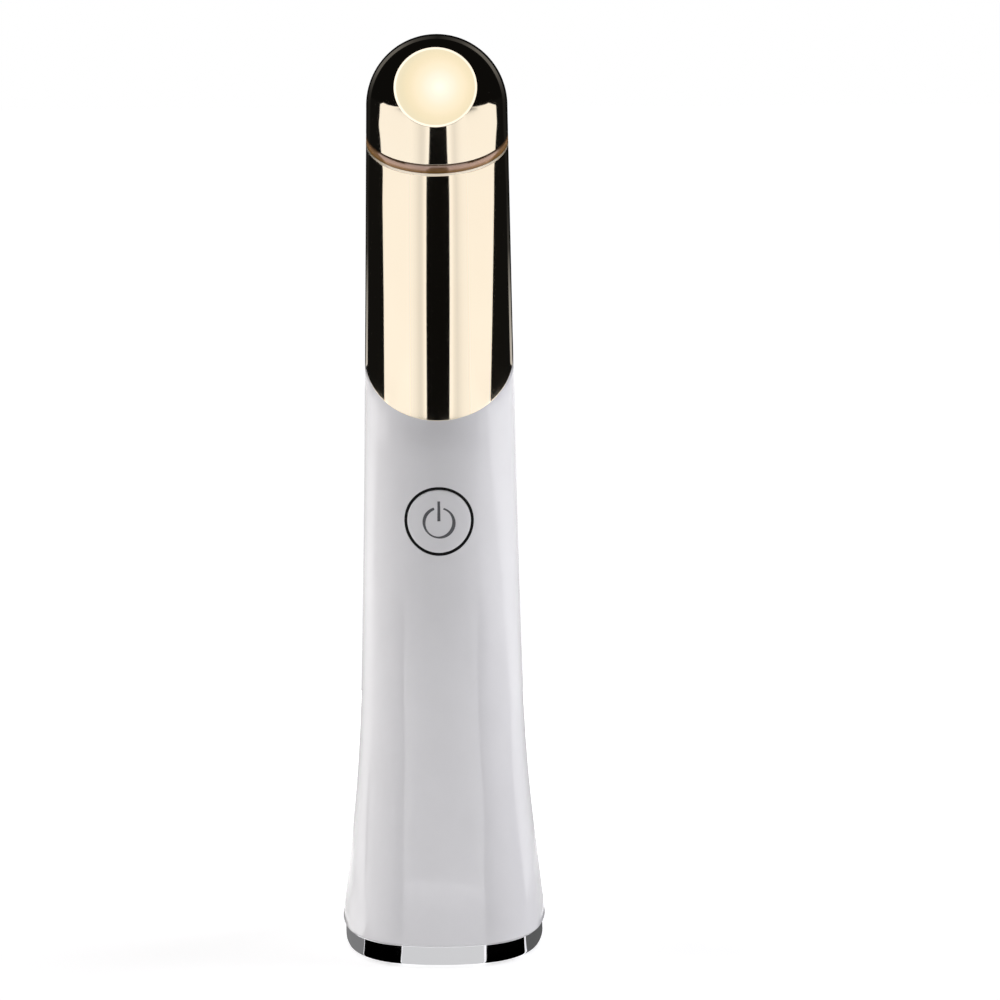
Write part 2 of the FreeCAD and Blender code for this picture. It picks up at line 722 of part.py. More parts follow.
# ---------------------------------------------------------------- battery

def make_battery():
    """Cylindrical cell with its raised terminal, and two foam bands that hold it in the cradle."""
    radius = "Size.battery_radius"
    edge = "Size.battery_edge"
    length = "Size.battery_length"
    tip = "Size.battery_button_height"
    profile = [("0", "0"), (f"{radius} - {edge}", "0"), (radius, edge), (radius, f"{length} - {edge}"),
               (f"{radius} - {edge}", length), ("Size.battery_button_radius", length),
               ("Size.battery_button_radius", f"{length} + {tip}"), ("0", f"{length} + {tip}")]
    node(turn_body("cell", profile, z=BATTERY_BOTTOM), "battery_cell")
    bands = []
    levels = ("Size.foam_inset", f"{length} - Size.foam_inset - Size.foam_width")
    for number, level in enumerate(levels):
        bands.append(cut(f"foam_band{number}",
                         rod(f"foam_outside{number}", FRAME_BORE, "Size.foam_width",
                             z=f"{BATTERY_BOTTOM} + {level}"),
                         rod(f"foam_inside{number}", radius, "Size.foam_width",
                             z=f"{BATTERY_BOTTOM} + {level}")))
    node(fuse("foam_bands", *bands), "battery_foam")


# ---------------------------------------------------------------- circuit board

def make_circuit_board():
    """Board on the frame's front edges, with its parts and the two screws that hold it."""
    body = new_body("board_body")
    sketch = new_sketch(body, "board_sketch", "XZ_Plane", "Size.frame_front")
    length = f"({UPPER_SCREW} - {LOWER_SCREW} + 2 * Size.board_end_gap)"
    draw_rectangle(sketch, "2 * Size.board_half_width", length, y=f"({LOWER_SCREW} + {UPPER_SCREW}) / 2")
    for height in BOARD_SCREWS:
        draw_circle(sketch, "Size.board_screw_radius", y=height)
    pad(body, sketch, "Size.board_thickness", "board_pad")
    node(body, "circuit_board")
    row = "(Size.button_height + Size.switch_width / 2 + Size.part_gap)"
    chip_middle = f"-({BOARD_FACE} + Size.chip_thickness / 2)"
    controller = block("controller_chip", "Size.chip_width", "Size.chip_thickness", "Size.chip_length",
                       x="-Size.part_pitch", y=chip_middle, z=row)
    charger = block("charger_chip", "Size.chip_width", "Size.chip_thickness", "Size.chip_length",
                    y=chip_middle, z=row)
    coil = rod("boost_coil", "Size.coil_radius", "Size.coil_thickness", x="Size.part_pitch",
               y=f"-({BOARD_FACE} + Size.coil_thickness)", z=f"{row} + Size.coil_radius", along="Y")
    node(fuse("board_parts", controller, charger, coil), "board_components")
    screws = []
    for number, height in enumerate(BOARD_SCREWS):
        head = rod(f"board_screw_head{number}", "Size.board_screw_head_radius",
                   "Size.board_screw_head_height", y=f"-({BOARD_FACE} + Size.board_screw_head_height)",
                   z=height, along="Y")
        shank = rod(f"board_screw_shank{number}", "Size.board_screw_radius",
                    "Size.board_thickness + Size.board_screw_length",
                    y=f"-{BOARD_FACE}", z=height, along="Y")
        screws.append(fuse(f"board_screw{number}", head, shank))
    node(fuse("board_screw_pair", *screws), "board_screws")


# ---------------------------------------------------------------- vibration motor

MOTOR_BOTTOM = f"({MOTOR_FLOOR} + Size.motor_boot_wall)"
MOTOR_TOP = f"({MOTOR_BOTTOM} + Size.motor_length)"


def make_motor():
    """Can in its rubber boot, with a shaft that spins an eccentric weight."""
    radius = "Size.motor_radius"
    bore = "(Size.motor_shaft_radius + Size.motor_shaft_clearance)"
    can = [("0", "0"), (radius, "0"), (radius, "Size.motor_length"), (bore, "Size.motor_length"),
           (bore, "Size.motor_length - Size.motor_shaft_depth - Size.motor_shaft_clearance"),
           ("0", "Size.motor_length - Size.motor_shaft_depth - Size.motor_shaft_clearance")]
    node(turn_body("motor", can, z=MOTOR_BOTTOM), "motor_can")
    wall = "Size.motor_boot_wall"
    boot = [("0", "0"), (f"{radius} + {wall}", "0"), (f"{radius} + {wall}", "Size.motor_boot_length"),
            (radius, "Size.motor_boot_length"), (radius, wall), ("0", wall)]
    node(turn_body("boot", boot, z=MOTOR_FLOOR), "motor_boot")
    shaft = rod("shaft", "Size.motor_shaft_radius", "Size.motor_shaft_depth + Size.motor_shaft_stand",
                z=f"{MOTOR_TOP} - Size.motor_shaft_depth")
    node(shaft, "motor_shaft")
    drum = rod("weight_drum", "Size.weight_radius", "Size.weight_length", z=f"{MOTOR_TOP} + Size.weight_gap")
    drum.Angle = 180
    bore_cut = rod("weight_bore", "Size.motor_shaft_radius", FAR, z=f"{MOTOR_TOP}")
    hub = rod("weight_hub", "2 * Size.motor_shaft_radius", "Size.weight_length",
              z=f"{MOTOR_TOP} + Size.weight_gap")
    node(cut("weight", fuse("weight_solid", drum, hub), bore_cut), "eccentric_weight")


# ---------------------------------------------------------------- foot


def make_base_trim():
    """Chrome ring under the housing, with a skirt inside it and a ledge over the base plate."""
    body = new_body("trim_body")
    outline = new_sketch(body, "trim_outline", "XY_Plane", "Size.trim_lift")
    draw_bowed_square(outline, "(Size.base_half_width - Size.trim_inset)",
                      "(Size.base_bow_radius - Size.trim_inset)")
    pad(body, outline, "Size.trim_top - Size.trim_lift", "trim_pad")
    round_edges(body, "Size.trim_edge_radius", "Size.trim_lift", "trim_round")
    recess = new_sketch(body, "plate_recess", "XY_Plane", PLATE_TOP)
    draw_bowed_square(recess, "(Size.plate_half_width + Size.plate_clearance)",
                      "(Size.plate_bow_radius + Size.plate_clearance)")
    pocket(body, recess, PLATE_TOP, "recess")
    opening = new_sketch(body, "trim_opening", "XY_Plane", "Size.trim_top")
    draw_circle(opening, "Size.plate_half_width - Size.plate_ledge")
    pocket(body, opening, "Size.trim_top", "opening")
    room = new_body("skirt_room")
    inside = new_sketch(room, "skirt_inside", "XY_Plane", "Size.trim_top")
    inset = "(Size.housing_wall + Size.trim_clearance + Size.trim_skirt_wall)"
    draw_bowed_square(inside, f"(Size.base_half_width - {inset})", f"(Size.base_bow_radius - {inset})")
    pad(room, inside, "Size.trim_skirt_height", "skirt_room_pad")
    slab = block("skirt_slab", FAR, FAR, "Size.trim_skirt_height", z="Size.trim_top")
    skirt = cut("trim_skirt", common("skirt_solid", trim_fit, slab), room)
    node(fuse("trim_fused", body, skirt), "base_trim")


def make_base_plate():
    """Plate that closes the foot, with the socket's window and two countersunk screw holes."""
    body = new_body("plate_body")
    outline = new_sketch(body, "plate_outline", "XY_Plane", "Size.plate_bottom")
    draw_bowed_square(outline, "Size.plate_half_width", "Size.plate_bow_radius")
    pad(body, outline, "Size.plate_thickness", "plate_pad")
    doc.recompute()
    window = new_sketch(body, "plate_window", "XY_Plane", PLATE_TOP)
    draw_slot(window, "Size.socket_width + 2 * Size.socket_clearance",
              "Size.socket_depth + 2 * Size.socket_clearance")
    pocket(body, window, "Size.plate_thickness", "window_cut")
    for name, radius, depth in (
            ("shank", "Size.base_screw_radius", "Size.plate_thickness"),
            ("head", "Size.base_screw_head_radius", "Size.base_screw_head_height")):
        holes = new_sketch(body, f"plate_{name}_holes", "XY_Plane", "Size.plate_bottom")
        for x in BASE_SCREWS:
            draw_circle(holes, radius, x=x)
        pocket(body, holes, depth, f"{name}_holes", along_normal=True)
    node(body, "base_plate")


def make_base_pad():
    """Rubber foot with a window for the charging plug."""
    body = new_body("pad_body")
    outline = new_sketch(body, "pad_outline", "XY_Plane")
    draw_bowed_square(outline, "(Size.plate_half_width - Size.pad_inset)",
                      "(Size.plate_bow_radius - Size.pad_inset)")
    draw_slot(outline, "Size.socket_width + 2 * Size.port_margin",
              "Size.socket_depth + 2 * Size.port_margin")
    pad(body, outline, "Size.plate_bottom", "pad_pad")
    node(body, "base_pad")


def make_base_screws():
    """Two screws from below, through the plate into the frame's bosses."""
    screws = []
    for number, x in enumerate(BASE_SCREWS):
        head = rod(f"base_screw_head{number}", "Size.base_screw_head_radius",
                   "Size.base_screw_head_height", x=x, z="Size.plate_bottom")
        shank = rod(f"base_screw_shank{number}", "Size.base_screw_radius",
                    "Size.base_screw_length", x=x, z="Size.plate_bottom")
        screws.append(fuse(f"base_screw{number}", head, shank))
    node(fuse("base_screw_pair", *screws), "base_screws")


# ---------------------------------------------------------------- charging socket

SOCKET_TOP = "(Size.frame_foot_bottom - Size.charging_board_thickness)"
SOCKET_LENGTH = f"({SOCKET_TOP} - Size.socket_mouth)"


def make_charging_socket():
    """Small board under the frame's foot, with the socket's shell and tongue facing down."""
    board = block("charging_slab", "Size.charging_board_width", "Size.charging_board_depth",
                  "Size.charging_board_thickness", z=SOCKET_TOP)
    node(board, "charging_board")
    body = new_body("socket_body")
    outline = new_sketch(body, "socket_outline", "XY_Plane", "Size.socket_mouth")
    draw_slot(outline, "Size.socket_width", "Size.socket_depth")
    pad(body, outline, SOCKET_LENGTH, "socket_pad")
    doc.recompute()
    mouth = new_sketch(body, "socket_mouth", "XY_Plane", "Size.socket_mouth")
    draw_slot(mouth, "Size.socket_width - 2 * Size.socket_wall", "Size.socket_depth - 2 * Size.socket_wall")
    pocket(body, mouth, f"{SOCKET_LENGTH} - Size.socket_wall", "mouth", along_normal=True)
    node(body, "charging_socket_shell")
    tongue_length = f"({SOCKET_LENGTH} - Size.socket_wall - Size.tongue_recess)"
    tongue = block("socket_tongue", "Size.tongue_width", "Size.tongue_thickness", tongue_length,
                   z="Size.socket_mouth + Size.tongue_recess")
    node(tongue, "charging_socket_tongue")


make_main_housing()
make_button_seal()
make_power_button()
make_switch()
make_gold_sleeve()
make_insulating_ring()
make_head_cap()
make_heater()
make_head_carrier()
make_inner_frame()
make_battery()
make_circuit_board()
make_motor()
make_base_trim()
make_base_plate()
make_base_pad()
make_base_screws()
make_charging_socket()
doc.recompute()

for item in doc.Objects:
    if "Invalid" in item.State or "Error" in item.State:
        raise RuntimeError(f"{item.Label} failed: {item.State}")
for item in NODES:
    if item.Shape.isNull() or not item.Shape.isValid():
        raise RuntimeError(f"{item.Label} has no valid shape")

os.makedirs("parts", exist_ok=True)
for item in NODES:
    item.Shape.exportStep(f"parts/{item.Label}.step")
    box = item.Shape.BoundBox
    print(f"{item.Label}: {len(item.Shape.Solids)} solids, {item.Shape.Volume:.1f} mm3,"
          f" z {box.ZMin:.2f} to {box.ZMax:.2f}")
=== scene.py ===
import math

import bpy
import numpy as np
from mathutils import Matrix, Vector


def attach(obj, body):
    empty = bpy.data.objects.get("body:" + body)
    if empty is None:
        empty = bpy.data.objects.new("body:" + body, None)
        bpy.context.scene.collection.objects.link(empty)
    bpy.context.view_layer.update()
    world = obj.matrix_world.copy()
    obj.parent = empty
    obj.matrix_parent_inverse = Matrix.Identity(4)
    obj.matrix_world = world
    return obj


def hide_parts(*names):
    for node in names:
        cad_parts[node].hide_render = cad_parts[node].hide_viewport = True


# Heated eye massager wand. The visible shells are smooth meshes on the CAD's own form,
# and the CAD's inner pieces keep their shapes. Sizes here are in millimetres until a mesh is made.

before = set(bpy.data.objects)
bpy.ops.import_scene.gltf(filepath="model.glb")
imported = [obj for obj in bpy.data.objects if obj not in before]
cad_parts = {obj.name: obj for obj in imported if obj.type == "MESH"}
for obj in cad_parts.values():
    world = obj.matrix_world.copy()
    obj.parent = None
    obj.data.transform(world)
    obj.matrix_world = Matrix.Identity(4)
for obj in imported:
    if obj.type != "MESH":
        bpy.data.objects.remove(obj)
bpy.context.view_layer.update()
bpy.context.scene.view_settings.view_transform = "Standard"
MM = 0.001

# Sections of the wand: height, half width, bow radius, as in the CAD's form
STATIONS = (
    (3.4, 15.6, 27.0),
    (13.9, 14.35, 22.0),
    (25.9, 13.1, 17.0),
    (46.4, 12.1, 13.4),
    (80.4, 11.25, 11.25),
    (127.1, 10.35, 10.35),
)
BOW_ANGLE = math.radians(15)
HEAD_HEIGHT = 127.1
HEAD_RADIUS = 10.35
SLEEVE_SEAM = (90.5, math.radians(36.7))      # height on the axis, slant
HEAD_SEAM = (123.4, math.radians(22.5))
INSULATOR_HEIGHT = 1.25
INSULATOR_SEAM = (HEAD_SEAM[0] - INSULATOR_HEIGHT, HEAD_SEAM[1])
FACET_ANGLE = math.radians(20)
FACET_DISTANCE = 8.4
BUTTON_HEIGHT = 67.3
BUTTON_BORE = 5.1
SEAL_WIDTH = 0.41
BUTTON_RADIUS = 4.67
HOUSING_BOTTOM = STATIONS[0][0]
HOUSING_WALL = 1.8
THIN_WALL = 0.8                               # of the sleeve, the insulating ring and the head

COLUMNS = 256                                 # mesh columns round the wand
BUTTON_COLUMNS = 160                          # and round the button
FRONT = -math.pi / 2                          # the angle that faces the camera


# ---------------------------------------------------------------- form of the wand

def spline_slopes(heights, sizes):
    """Second derivatives of the natural cubic through the stations."""
    count = len(heights)
    step = np.diff(heights)
    system = np.eye(count)
    right = np.zeros(count)
    for i in range(1, count - 1):
        system[i, i - 1] = step[i - 1]
        system[i, i] = 2 * (step[i - 1] + step[i])
        system[i, i + 1] = step[i]
        right[i] = 6 * ((sizes[i + 1] - sizes[i]) / step[i] - (sizes[i] - sizes[i - 1]) / step[i - 1])
    return np.linalg.solve(system, right)


HEIGHTS, HALF_WIDTHS, BOW_RADII = (np.array(column) for column in zip(*STATIONS))
CURVES = [(sizes, spline_slopes(HEIGHTS, sizes)) for sizes in (HALF_WIDTHS, BOW_RADII)]


def sizes_at(height):
    """Half width and bow radius of the wand at a height."""
    height = np.clip(height, HEIGHTS[0], HEIGHTS[-1])
    index = np.clip(np.searchsorted(HEIGHTS, height) - 1, 0, len(HEIGHTS) - 2)
    step = HEIGHTS[index + 1] - HEIGHTS[index]
    above = (height - HEIGHTS[index]) / step
    below = 1 - above
    found = []
    for sizes, bends in CURVES:
        bend = ((below ** 3 - below) * bends[index] + (above ** 3 - above) * bends[index + 1]) * step ** 2 / 6
        found.append(below * sizes[index] + above * sizes[index + 1] + bend)
    half_width, bow_radius = found
    return half_width, np.maximum(bow_radius, half_width)


def corner_of(half_width, bow_radius):
    """How far a bow's centre lies beyond the axis, the corner's radius, and how far off its centre is."""
    slack = bow_radius - half_width
    corner_radius = bow_radius - slack / (math.cos(BOW_ANGLE) - math.sin(BOW_ANGLE))
    return slack, corner_radius, (bow_radius - corner_radius) * math.sin(BOW_ANGLE)


def section(angle, half_width, bow_radius):
    """Point of a bowed square whose outward normal has that angle."""
    slack, corner_radius, corner = corner_of(half_width, bow_radius)
    quarter = np.round(angle / (math.pi / 2))
    turn = angle - quarter * math.pi / 2
    on_side = np.abs(turn) <= BOW_ANGLE
    along = np.where(on_side, -slack + bow_radius * np.cos(turn), corner + corner_radius * np.cos(turn))
    across = np.where(on_side, bow_radius * np.sin(turn),
                      np.sign(turn) * corner + corner_radius * np.sin(turn))
    heading = quarter * math.pi / 2
    x = along * np.cos(heading) - across * np.sin(heading)
    y = along * np.sin(heading) + across * np.cos(heading)
    return x, y


def ring(angle, height, inset=0.0):
    """Points round the wand at a height, drawn in by an inset. Above the head's centre it is a ball."""
    half_width, bow_radius = sizes_at(height)
    over = np.maximum(height - HEAD_HEIGHT, 0)
    ball = np.sqrt(np.maximum((HEAD_RADIUS - inset) ** 2 - over ** 2, 0)) - (HEAD_RADIUS - inset)
    x, y = section(angle, half_width - inset + ball, bow_radius - inset + ball)
    return np.stack([x, y, height + 0 * x], axis=-1)


def slanted_ring(angle, seam, rise=0.0, inset=0.0):
    """Points round the wand in a seam's plane, raised a little."""
    height = np.full_like(angle, seam[0])
    for _ in range(12):
        height = seam[0] + rise + ring(angle, height)[:, 1] * math.tan(seam[1])
    return ring(angle, height, inset)


def front_depth(x, height):
    """The y of the wand's front face over a point, for a point near the middle."""
    half_width, bow_radius = sizes_at(height)
    slack, corner_radius, corner = corner_of(half_width, bow_radius)
    side = np.sqrt(np.maximum(bow_radius ** 2 - x ** 2, 0)) - slack
    bend = corner + np.sqrt(np.maximum(corner_radius ** 2 - (np.abs(x) - corner) ** 2, 0))
    return -np.where(np.abs(x) <= bow_radius * math.sin(BOW_ANGLE), side, bend)


# ---------------------------------------------------------------- mesh making

def mesh_object(name, points, faces, material, body, *nodes, slot=None):
    """A smooth piece that rides on a body and stands for CAD nodes."""
    mesh = bpy.data.meshes.new(name)
    mesh.from_pydata([Vector(point) * MM for point in points], [], faces)
    mesh.validate()
    mesh.update()
    mesh.shade_smooth()
    piece = bpy.data.objects.new(name, mesh)
    bpy.context.scene.collection.objects.link(piece)
    mesh.materials.append(material)
    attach(piece, body)
    if nodes:
        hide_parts(*nodes)
    return piece


def grid_faces(rows, columns, close_rows=False):
    """Quads between rows of points, each row closed on itself."""
    faces = []
    last = rows if close_rows else rows - 1
    for row in range(last):
        start = row * columns
        following = ((row + 1) % rows) * columns
        for column in range(columns):
            side = (column + 1) % columns
            faces.append((start + column, start + side, following + side, following + column))
    return faces


def rolled_shell(name, rows, material, node, slot, flip=False):
    """A closed shell from rows that run up the outside and down the inside, or with flip the other way."""
    faces = grid_faces(len(rows), len(rows[0]), close_rows=True)
    if flip:
        faces = [tuple(reversed(face)) for face in faces]
    return mesh_object(name, np.concatenate(rows), faces, material, "wand", node, slot=slot)


def capped_shell(name, rows, first_pole, last_pole, material, body, node, slot):
    """A closed shell from rows that run from one pole, round the outside, to the other pole inside."""
    columns = len(rows[0])
    faces = [tuple(reversed(face)) for face in grid_faces(len(rows), columns)]
    pole = len(rows) * columns
    last_row = pole - columns
    for column in range(columns):
        side = (column + 1) % columns
        faces.append((pole, column, side))
        faces.append((pole + 1, last_row + side, last_row + column))
    points = np.concatenate([*rows, [first_pole], [last_pole]])
    mesh_object(name, points, faces, material, body, node, slot=slot)


def edge_roll(radius, steps=4):
    """(inset, drop) pairs of a quarter round, from the outer face to the end face."""
    pairs = []
    for step in range(steps + 1):
        turn = step / steps * math.pi / 2
        pairs.append((radius * (1 - math.cos(turn)), radius * (1 - math.sin(turn))))
    return pairs


ANGLES = FRONT + np.arange(COLUMNS) * 2 * math.pi / COLUMNS


def between(low, high, share):
    return low + (high - low) * share


# ---------------------------------------------------------------- materials

def new_material(name):
    material = bpy.data.materials.new(name)
    material.use_nodes = True
    tree = material.node_tree
    return material, tree, tree.nodes["Principled BSDF"]


def add_noise(tree, scale):
    """Noise on object coordinates."""
    coordinates = tree.nodes.new("ShaderNodeTexCoord")
    noise = tree.nodes.new("ShaderNodeTexNoise")
    noise.inputs["Scale"].default_value = scale
    noise.inputs["Detail"].default_value = 3
    noise.inputs["Roughness"].default_value = 0.5
    tree.links.new(coordinates.outputs["Object"], noise.inputs["Vector"])
    return noise


def measure(tree, operation, vector=(0, 0, 0)):
    """A product, distance or length of the object coordinates."""
    coordinates = tree.nodes.new("ShaderNodeTexCoord")
    result = tree.nodes.new("ShaderNodeVectorMath")
    result.operation = operation
    result.inputs[1].default_value = vector
    tree.links.new(coordinates.outputs["Object"], result.inputs[0])
    return result.outputs["Value"]


def map_range(tree, source, low, high, start=0.0, end=1.0):
    """Maps start to end onto low to high."""
    level = tree.nodes.new("ShaderNodeMapRange")
    for socket, value in (("From Min", start), ("From Max", end), ("To Min", low), ("To Max", high)):
        level.inputs[socket].default_value = value
    tree.links.new(source, level.inputs["Value"])
    return level.outputs["Result"]


def vary(tree, noise, socket, low, high):
    """Spreads a noise between two values of a socket."""
    tree.links.new(map_range(tree, noise.outputs["Fac"], low, high, 0.3, 0.7), socket)


def tint(tree, noise, socket, first, second):
    """Spreads a noise between two colours of a socket."""
    ramp = tree.nodes.new("ShaderNodeValToRGB")
    ramp.color_ramp.elements[0].position = 0.35
    ramp.color_ramp.elements[1].position = 0.65
    ramp.color_ramp.elements[0].color = (*first, 1)
    ramp.color_ramp.elements[1].color = (*second, 1)
    tree.links.new(noise.outputs["Fac"], ramp.inputs["Fac"])
    tree.links.new(ramp.outputs["Color"], socket)


def add_ramp(tree, source, socket, stops):
    """Colours a value from 0 to 1 by (position, colour) stops, the first at 0 and the last at 1."""
    ramp = tree.nodes.new("ShaderNodeValToRGB")
    elements = ramp.color_ramp.elements
    for position, colour in stops:
        element = elements.new(position) if 0 < position < 1 else elements[-1 if position else 0]
        element.color = (*colour, 1)
    tree.links.new(source, ramp.inputs["Fac"])
    tree.links.new(ramp.outputs["Color"], socket)
    return ramp


def bump(tree, shader, noise, height):
    """Raises a noise as a fine relief."""
    relief = tree.nodes.new("ShaderNodeBump")
    relief.inputs["Distance"].default_value = height
    tree.links.new(noise.outputs["Fac"], relief.inputs["Height"])
    tree.links.new(relief.outputs["Normal"], shader.inputs["Normal"])


def finish(name, colours, roughness, metallic=0.0, grain=400.0, relief=0.0, coat=0.0, specular=0.5):
    """A material with fine colour variation, uneven gloss and relief."""
    material, tree, shader = new_material(name)
    noise = add_noise(tree, grain)
    tint(tree, noise, shader.inputs["Base Color"], *colours)
    vary(tree, add_noise(tree, grain / 4), shader.inputs["Roughness"], *roughness)
    shader.inputs["Metallic"].default_value = metallic
    shader.inputs["Specular IOR Level"].default_value = specular
    shader.inputs["Coat Weight"].default_value = coat
    shader.inputs["Coat Roughness"].default_value = 0.03
    if relief:
        bump(tree, shader, noise, relief)
    return material


WHITE = finish("white_gloss", ((0.705, 0.70, 0.705), (0.72, 0.715, 0.72)), (0.09, 0.12), grain=160, coat=0.35)
GOLD = finish("gold_shell", ((0.97, 0.84, 0.66), (0.98, 0.86, 0.68)), (0.05, 0.08), metallic=1.0, grain=60)
GOLD_HEAD = finish("plated_gold", ((0.98, 0.86, 0.68), (0.985, 0.87, 0.70)), (0.05, 0.08), metallic=1.0,
                   grain=80)
CHROME = finish("chrome_trim", ((0.86, 0.86, 0.88), (0.88, 0.88, 0.90)), (0.04, 0.07), metallic=1.0, grain=90)
SATIN = finish("satin_edge", ((0.97, 0.87, 0.72), (0.985, 0.89, 0.75)), (0.46, 0.56), metallic=1.0, grain=120)
SILICONE = finish("black_silicone", ((0.001, 0.001, 0.001), (0.003, 0.003, 0.003)), (0.45, 0.6), grain=2500,
                  relief=0.00001, specular=0.1)
PRINT = finish("symbol_print", ((0.055, 0.055, 0.06), (0.07, 0.07, 0.075)), (0.35, 0.5), grain=3000,
               relief=0.000004)
GREY_PLASTIC = finish("grey_plastic", ((0.50, 0.50, 0.51), (0.54, 0.54, 0.55)), (0.4, 0.55), grain=3000,
                      relief=0.00001)
GREY_RUBBER = finish("grey_rubber", ((0.10, 0.10, 0.105), (0.13, 0.13, 0.135)), (0.65, 0.85), grain=2200,
                     relief=0.00002)
STEEL = finish("steel", ((0.50, 0.50, 0.52), (0.60, 0.60, 0.62)), (0.22, 0.35), metallic=1.0, grain=1500)
SOCKET_STEEL = finish("socket_steel", ((0.62, 0.62, 0.64), (0.70, 0.70, 0.72)), (0.18, 0.28), metallic=1.0,
                      grain=1800)
BOARD = finish("board_green", ((0.02, 0.13, 0.05), (0.03, 0.18, 0.07)), (0.3, 0.4), grain=900, relief=0.00001)
BLACK_PLASTIC = finish("black_plastic", ((0.012, 0.012, 0.012), (0.02, 0.02, 0.02)), (0.35, 0.5), grain=2500,
                       relief=0.000006)
CELL = finish("cell_wrap", ((0.03, 0.09, 0.22), (0.04, 0.11, 0.27)), (0.2, 0.3), grain=200, coat=0.3)
FOAM = finish("foam_rubber", ((0.02, 0.02, 0.02), (0.05, 0.05, 0.05)), (0.85, 0.95), grain=3500,
              relief=0.00008)
FRAME_PLASTIC = finish("frame_plastic", ((0.62, 0.62, 0.60), (0.66, 0.66, 0.64)), (0.4, 0.5), grain=1200,
                       relief=0.000008)
HEATER = finish("heater_amber", ((0.42, 0.16, 0.02), (0.55, 0.24, 0.04)), (0.25, 0.35), grain=1400)


def make_smoked_painted_shade():
    """Smoky brown plastic with painted shade: darker towards its edges, with a painted shadow at its top
    under the head, and a painted reflection, rosy in the middle and dim at both edges.
    """
    material, tree, shader = new_material("smoked_plastic")
    rise = measure(tree, "DOT_PRODUCT", (0, -math.tan(HEAD_SEAM[1]), 1))
    share = map_range(tree, rise, 0, 1, INSULATOR_SEAM[0] * MM, HEAD_SEAM[0] * MM)
    # Painted shade in the colour, from the bottom up: dark brown, lighter in the middle, then a painted
    # shadow, nearly black, under the head at the top.
    add_ramp(tree, share, shader.inputs["Base Color"], (
        (0.0, (0.185, 0.105, 0.03)), (0.17, (0.228, 0.125, 0.041)), (0.28, (0.28, 0.15, 0.055)),
        (0.50, (0.36, 0.20, 0.09)), (0.66, (0.32, 0.18, 0.085)), (0.86, (0.08, 0.045, 0.02)),
        (1.0, (0.03, 0.015, 0.008))))
    # Painted reflection: the mirrored light is tinted rosy across the middle and dimmed towards both edges.
    add_ramp(tree, share, shader.inputs["Specular Tint"], (
        (0.0, (0.35, 0.20, 0.12)), (0.22, (0.30, 0.20, 0.15)), (0.42, (1.0, 0.72, 0.64)),
        (0.76, (1.0, 0.76, 0.70)), (0.88, (0.25, 0.17, 0.13)), (1.0, (0.10, 0.06, 0.04))))
    vary(tree, add_noise(tree, 75), shader.inputs["Roughness"], 0.12, 0.20)
    shader.inputs["IOR"].default_value = 3.4
    return material


SMOKED_PAINTED_SHADE = make_smoked_painted_shade()

NODE_FINISHES = {
    "head_cap": GOLD_HEAD, "gold_sleeve": GOLD, "insulating_ring": SMOKED_PAINTED_SHADE, "main_housing": WHITE,
    "power_button": WHITE, "button_seal": SILICONE, "base_trim": CHROME, "base_plate": GREY_PLASTIC,
    "base_pad": GREY_RUBBER, "base_screws": STEEL, "charging_board": BOARD,
    "charging_socket_shell": SOCKET_STEEL, "charging_socket_tongue": BLACK_PLASTIC,
    "battery_cell": CELL, "battery_foam": FOAM, "inner_frame": FRAME_PLASTIC, "circuit_board": BOARD,
    "board_components": BLACK_PLASTIC, "board_screws": STEEL, "switch_body": BLACK_PLASTIC,
    "switch_plunger": FRAME_PLASTIC, "motor_can": SOCKET_STEEL, "motor_boot": SILICONE,
    "motor_shaft": STEEL, "eccentric_weight": STEEL, "heater_film": HEATER,
    "temperature_sensor": BLACK_PLASTIC, "head_carrier": FRAME_PLASTIC,
}
for node_name, node_finish in NODE_FINISHES.items():
    node_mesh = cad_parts[node_name].data
    node_mesh.materials.clear()
    node_mesh.materials.append(node_finish)


# ---------------------------------------------------------------- camera

CAMERA_LENS = 93.6
CAMERA_PLACE = Vector((0.00895, -0.385, 0.1390))
CAMERA_PITCH = math.radians(10.4)
CAMERA_ROLL = math.radians(-0.3)

camera_data = bpy.data.cameras.new("camera")
camera_data.lens = CAMERA_LENS
camera_data.sensor_width = 36
camera_data.clip_start = 0.01
camera = bpy.data.objects.new("camera", camera_data)
bpy.context.scene.collection.objects.link(camera)
camera.matrix_world = (Matrix.Translation(CAMERA_PLACE)
                       @ Matrix.Rotation(math.pi / 2 - CAMERA_PITCH, 4, "X")
                       @ Matrix.Rotation(CAMERA_ROLL, 4, "Z"))
bpy.context.scene.camera = camera


# ---------------------------------------------------------------- shells

FOOT_ROUNDING = 0.35                          # rounding of the housing's lower edge
EDGE = 0.06                                   # rounding of the head's lower edge
CLOSE_EDGE = 0.03                             # rounding where the sleeve meets the housing and the insulator
HOLD = 0.03                                   # a row this near to an edge keeps the shading flat beside it
LIP_HEIGHT = 0.34                             # the sleeve ends in a satin lip of this height
LIP_SEAM = (INSULATOR_SEAM[0] - LIP_HEIGHT, INSULATOR_SEAM[1])
FACE_RADIUS = 5.66                            # contact face inside its bevel
BEVEL_RADIUS = 5.98
FACE_PROUD = 0.06                             # how far the face stands beyond the CAD's


def make_housing():
    """White flared shell with its button bore."""
    rows = []
    for inset, drop in reversed(edge_roll(FOOT_ROUNDING, 8)):
        rows.append(ring(ANGLES, np.full(COLUMNS, HOUSING_BOTTOM + drop), inset))
    seam = slanted_ring(ANGLES, SLEEVE_SEAM)[:, 2]
    for share in np.linspace(0, 1, 150)[1:-1]:
        rows.append(ring(ANGLES, between(HOUSING_BOTTOM + FOOT_ROUNDING, seam - CLOSE_EDGE, share)))
    for inset, drop in edge_roll(CLOSE_EDGE):
        rows.append(slanted_ring(ANGLES, SLEEVE_SEAM, -drop, inset))
    for share in np.linspace(1, 0, 24):
        rows.append(ring(ANGLES, between(HOUSING_BOTTOM, seam, share), HOUSING_WALL))
    cut_button_bore(rolled_shell("housing_shell", rows, WHITE, "main_housing", "white_gloss"))


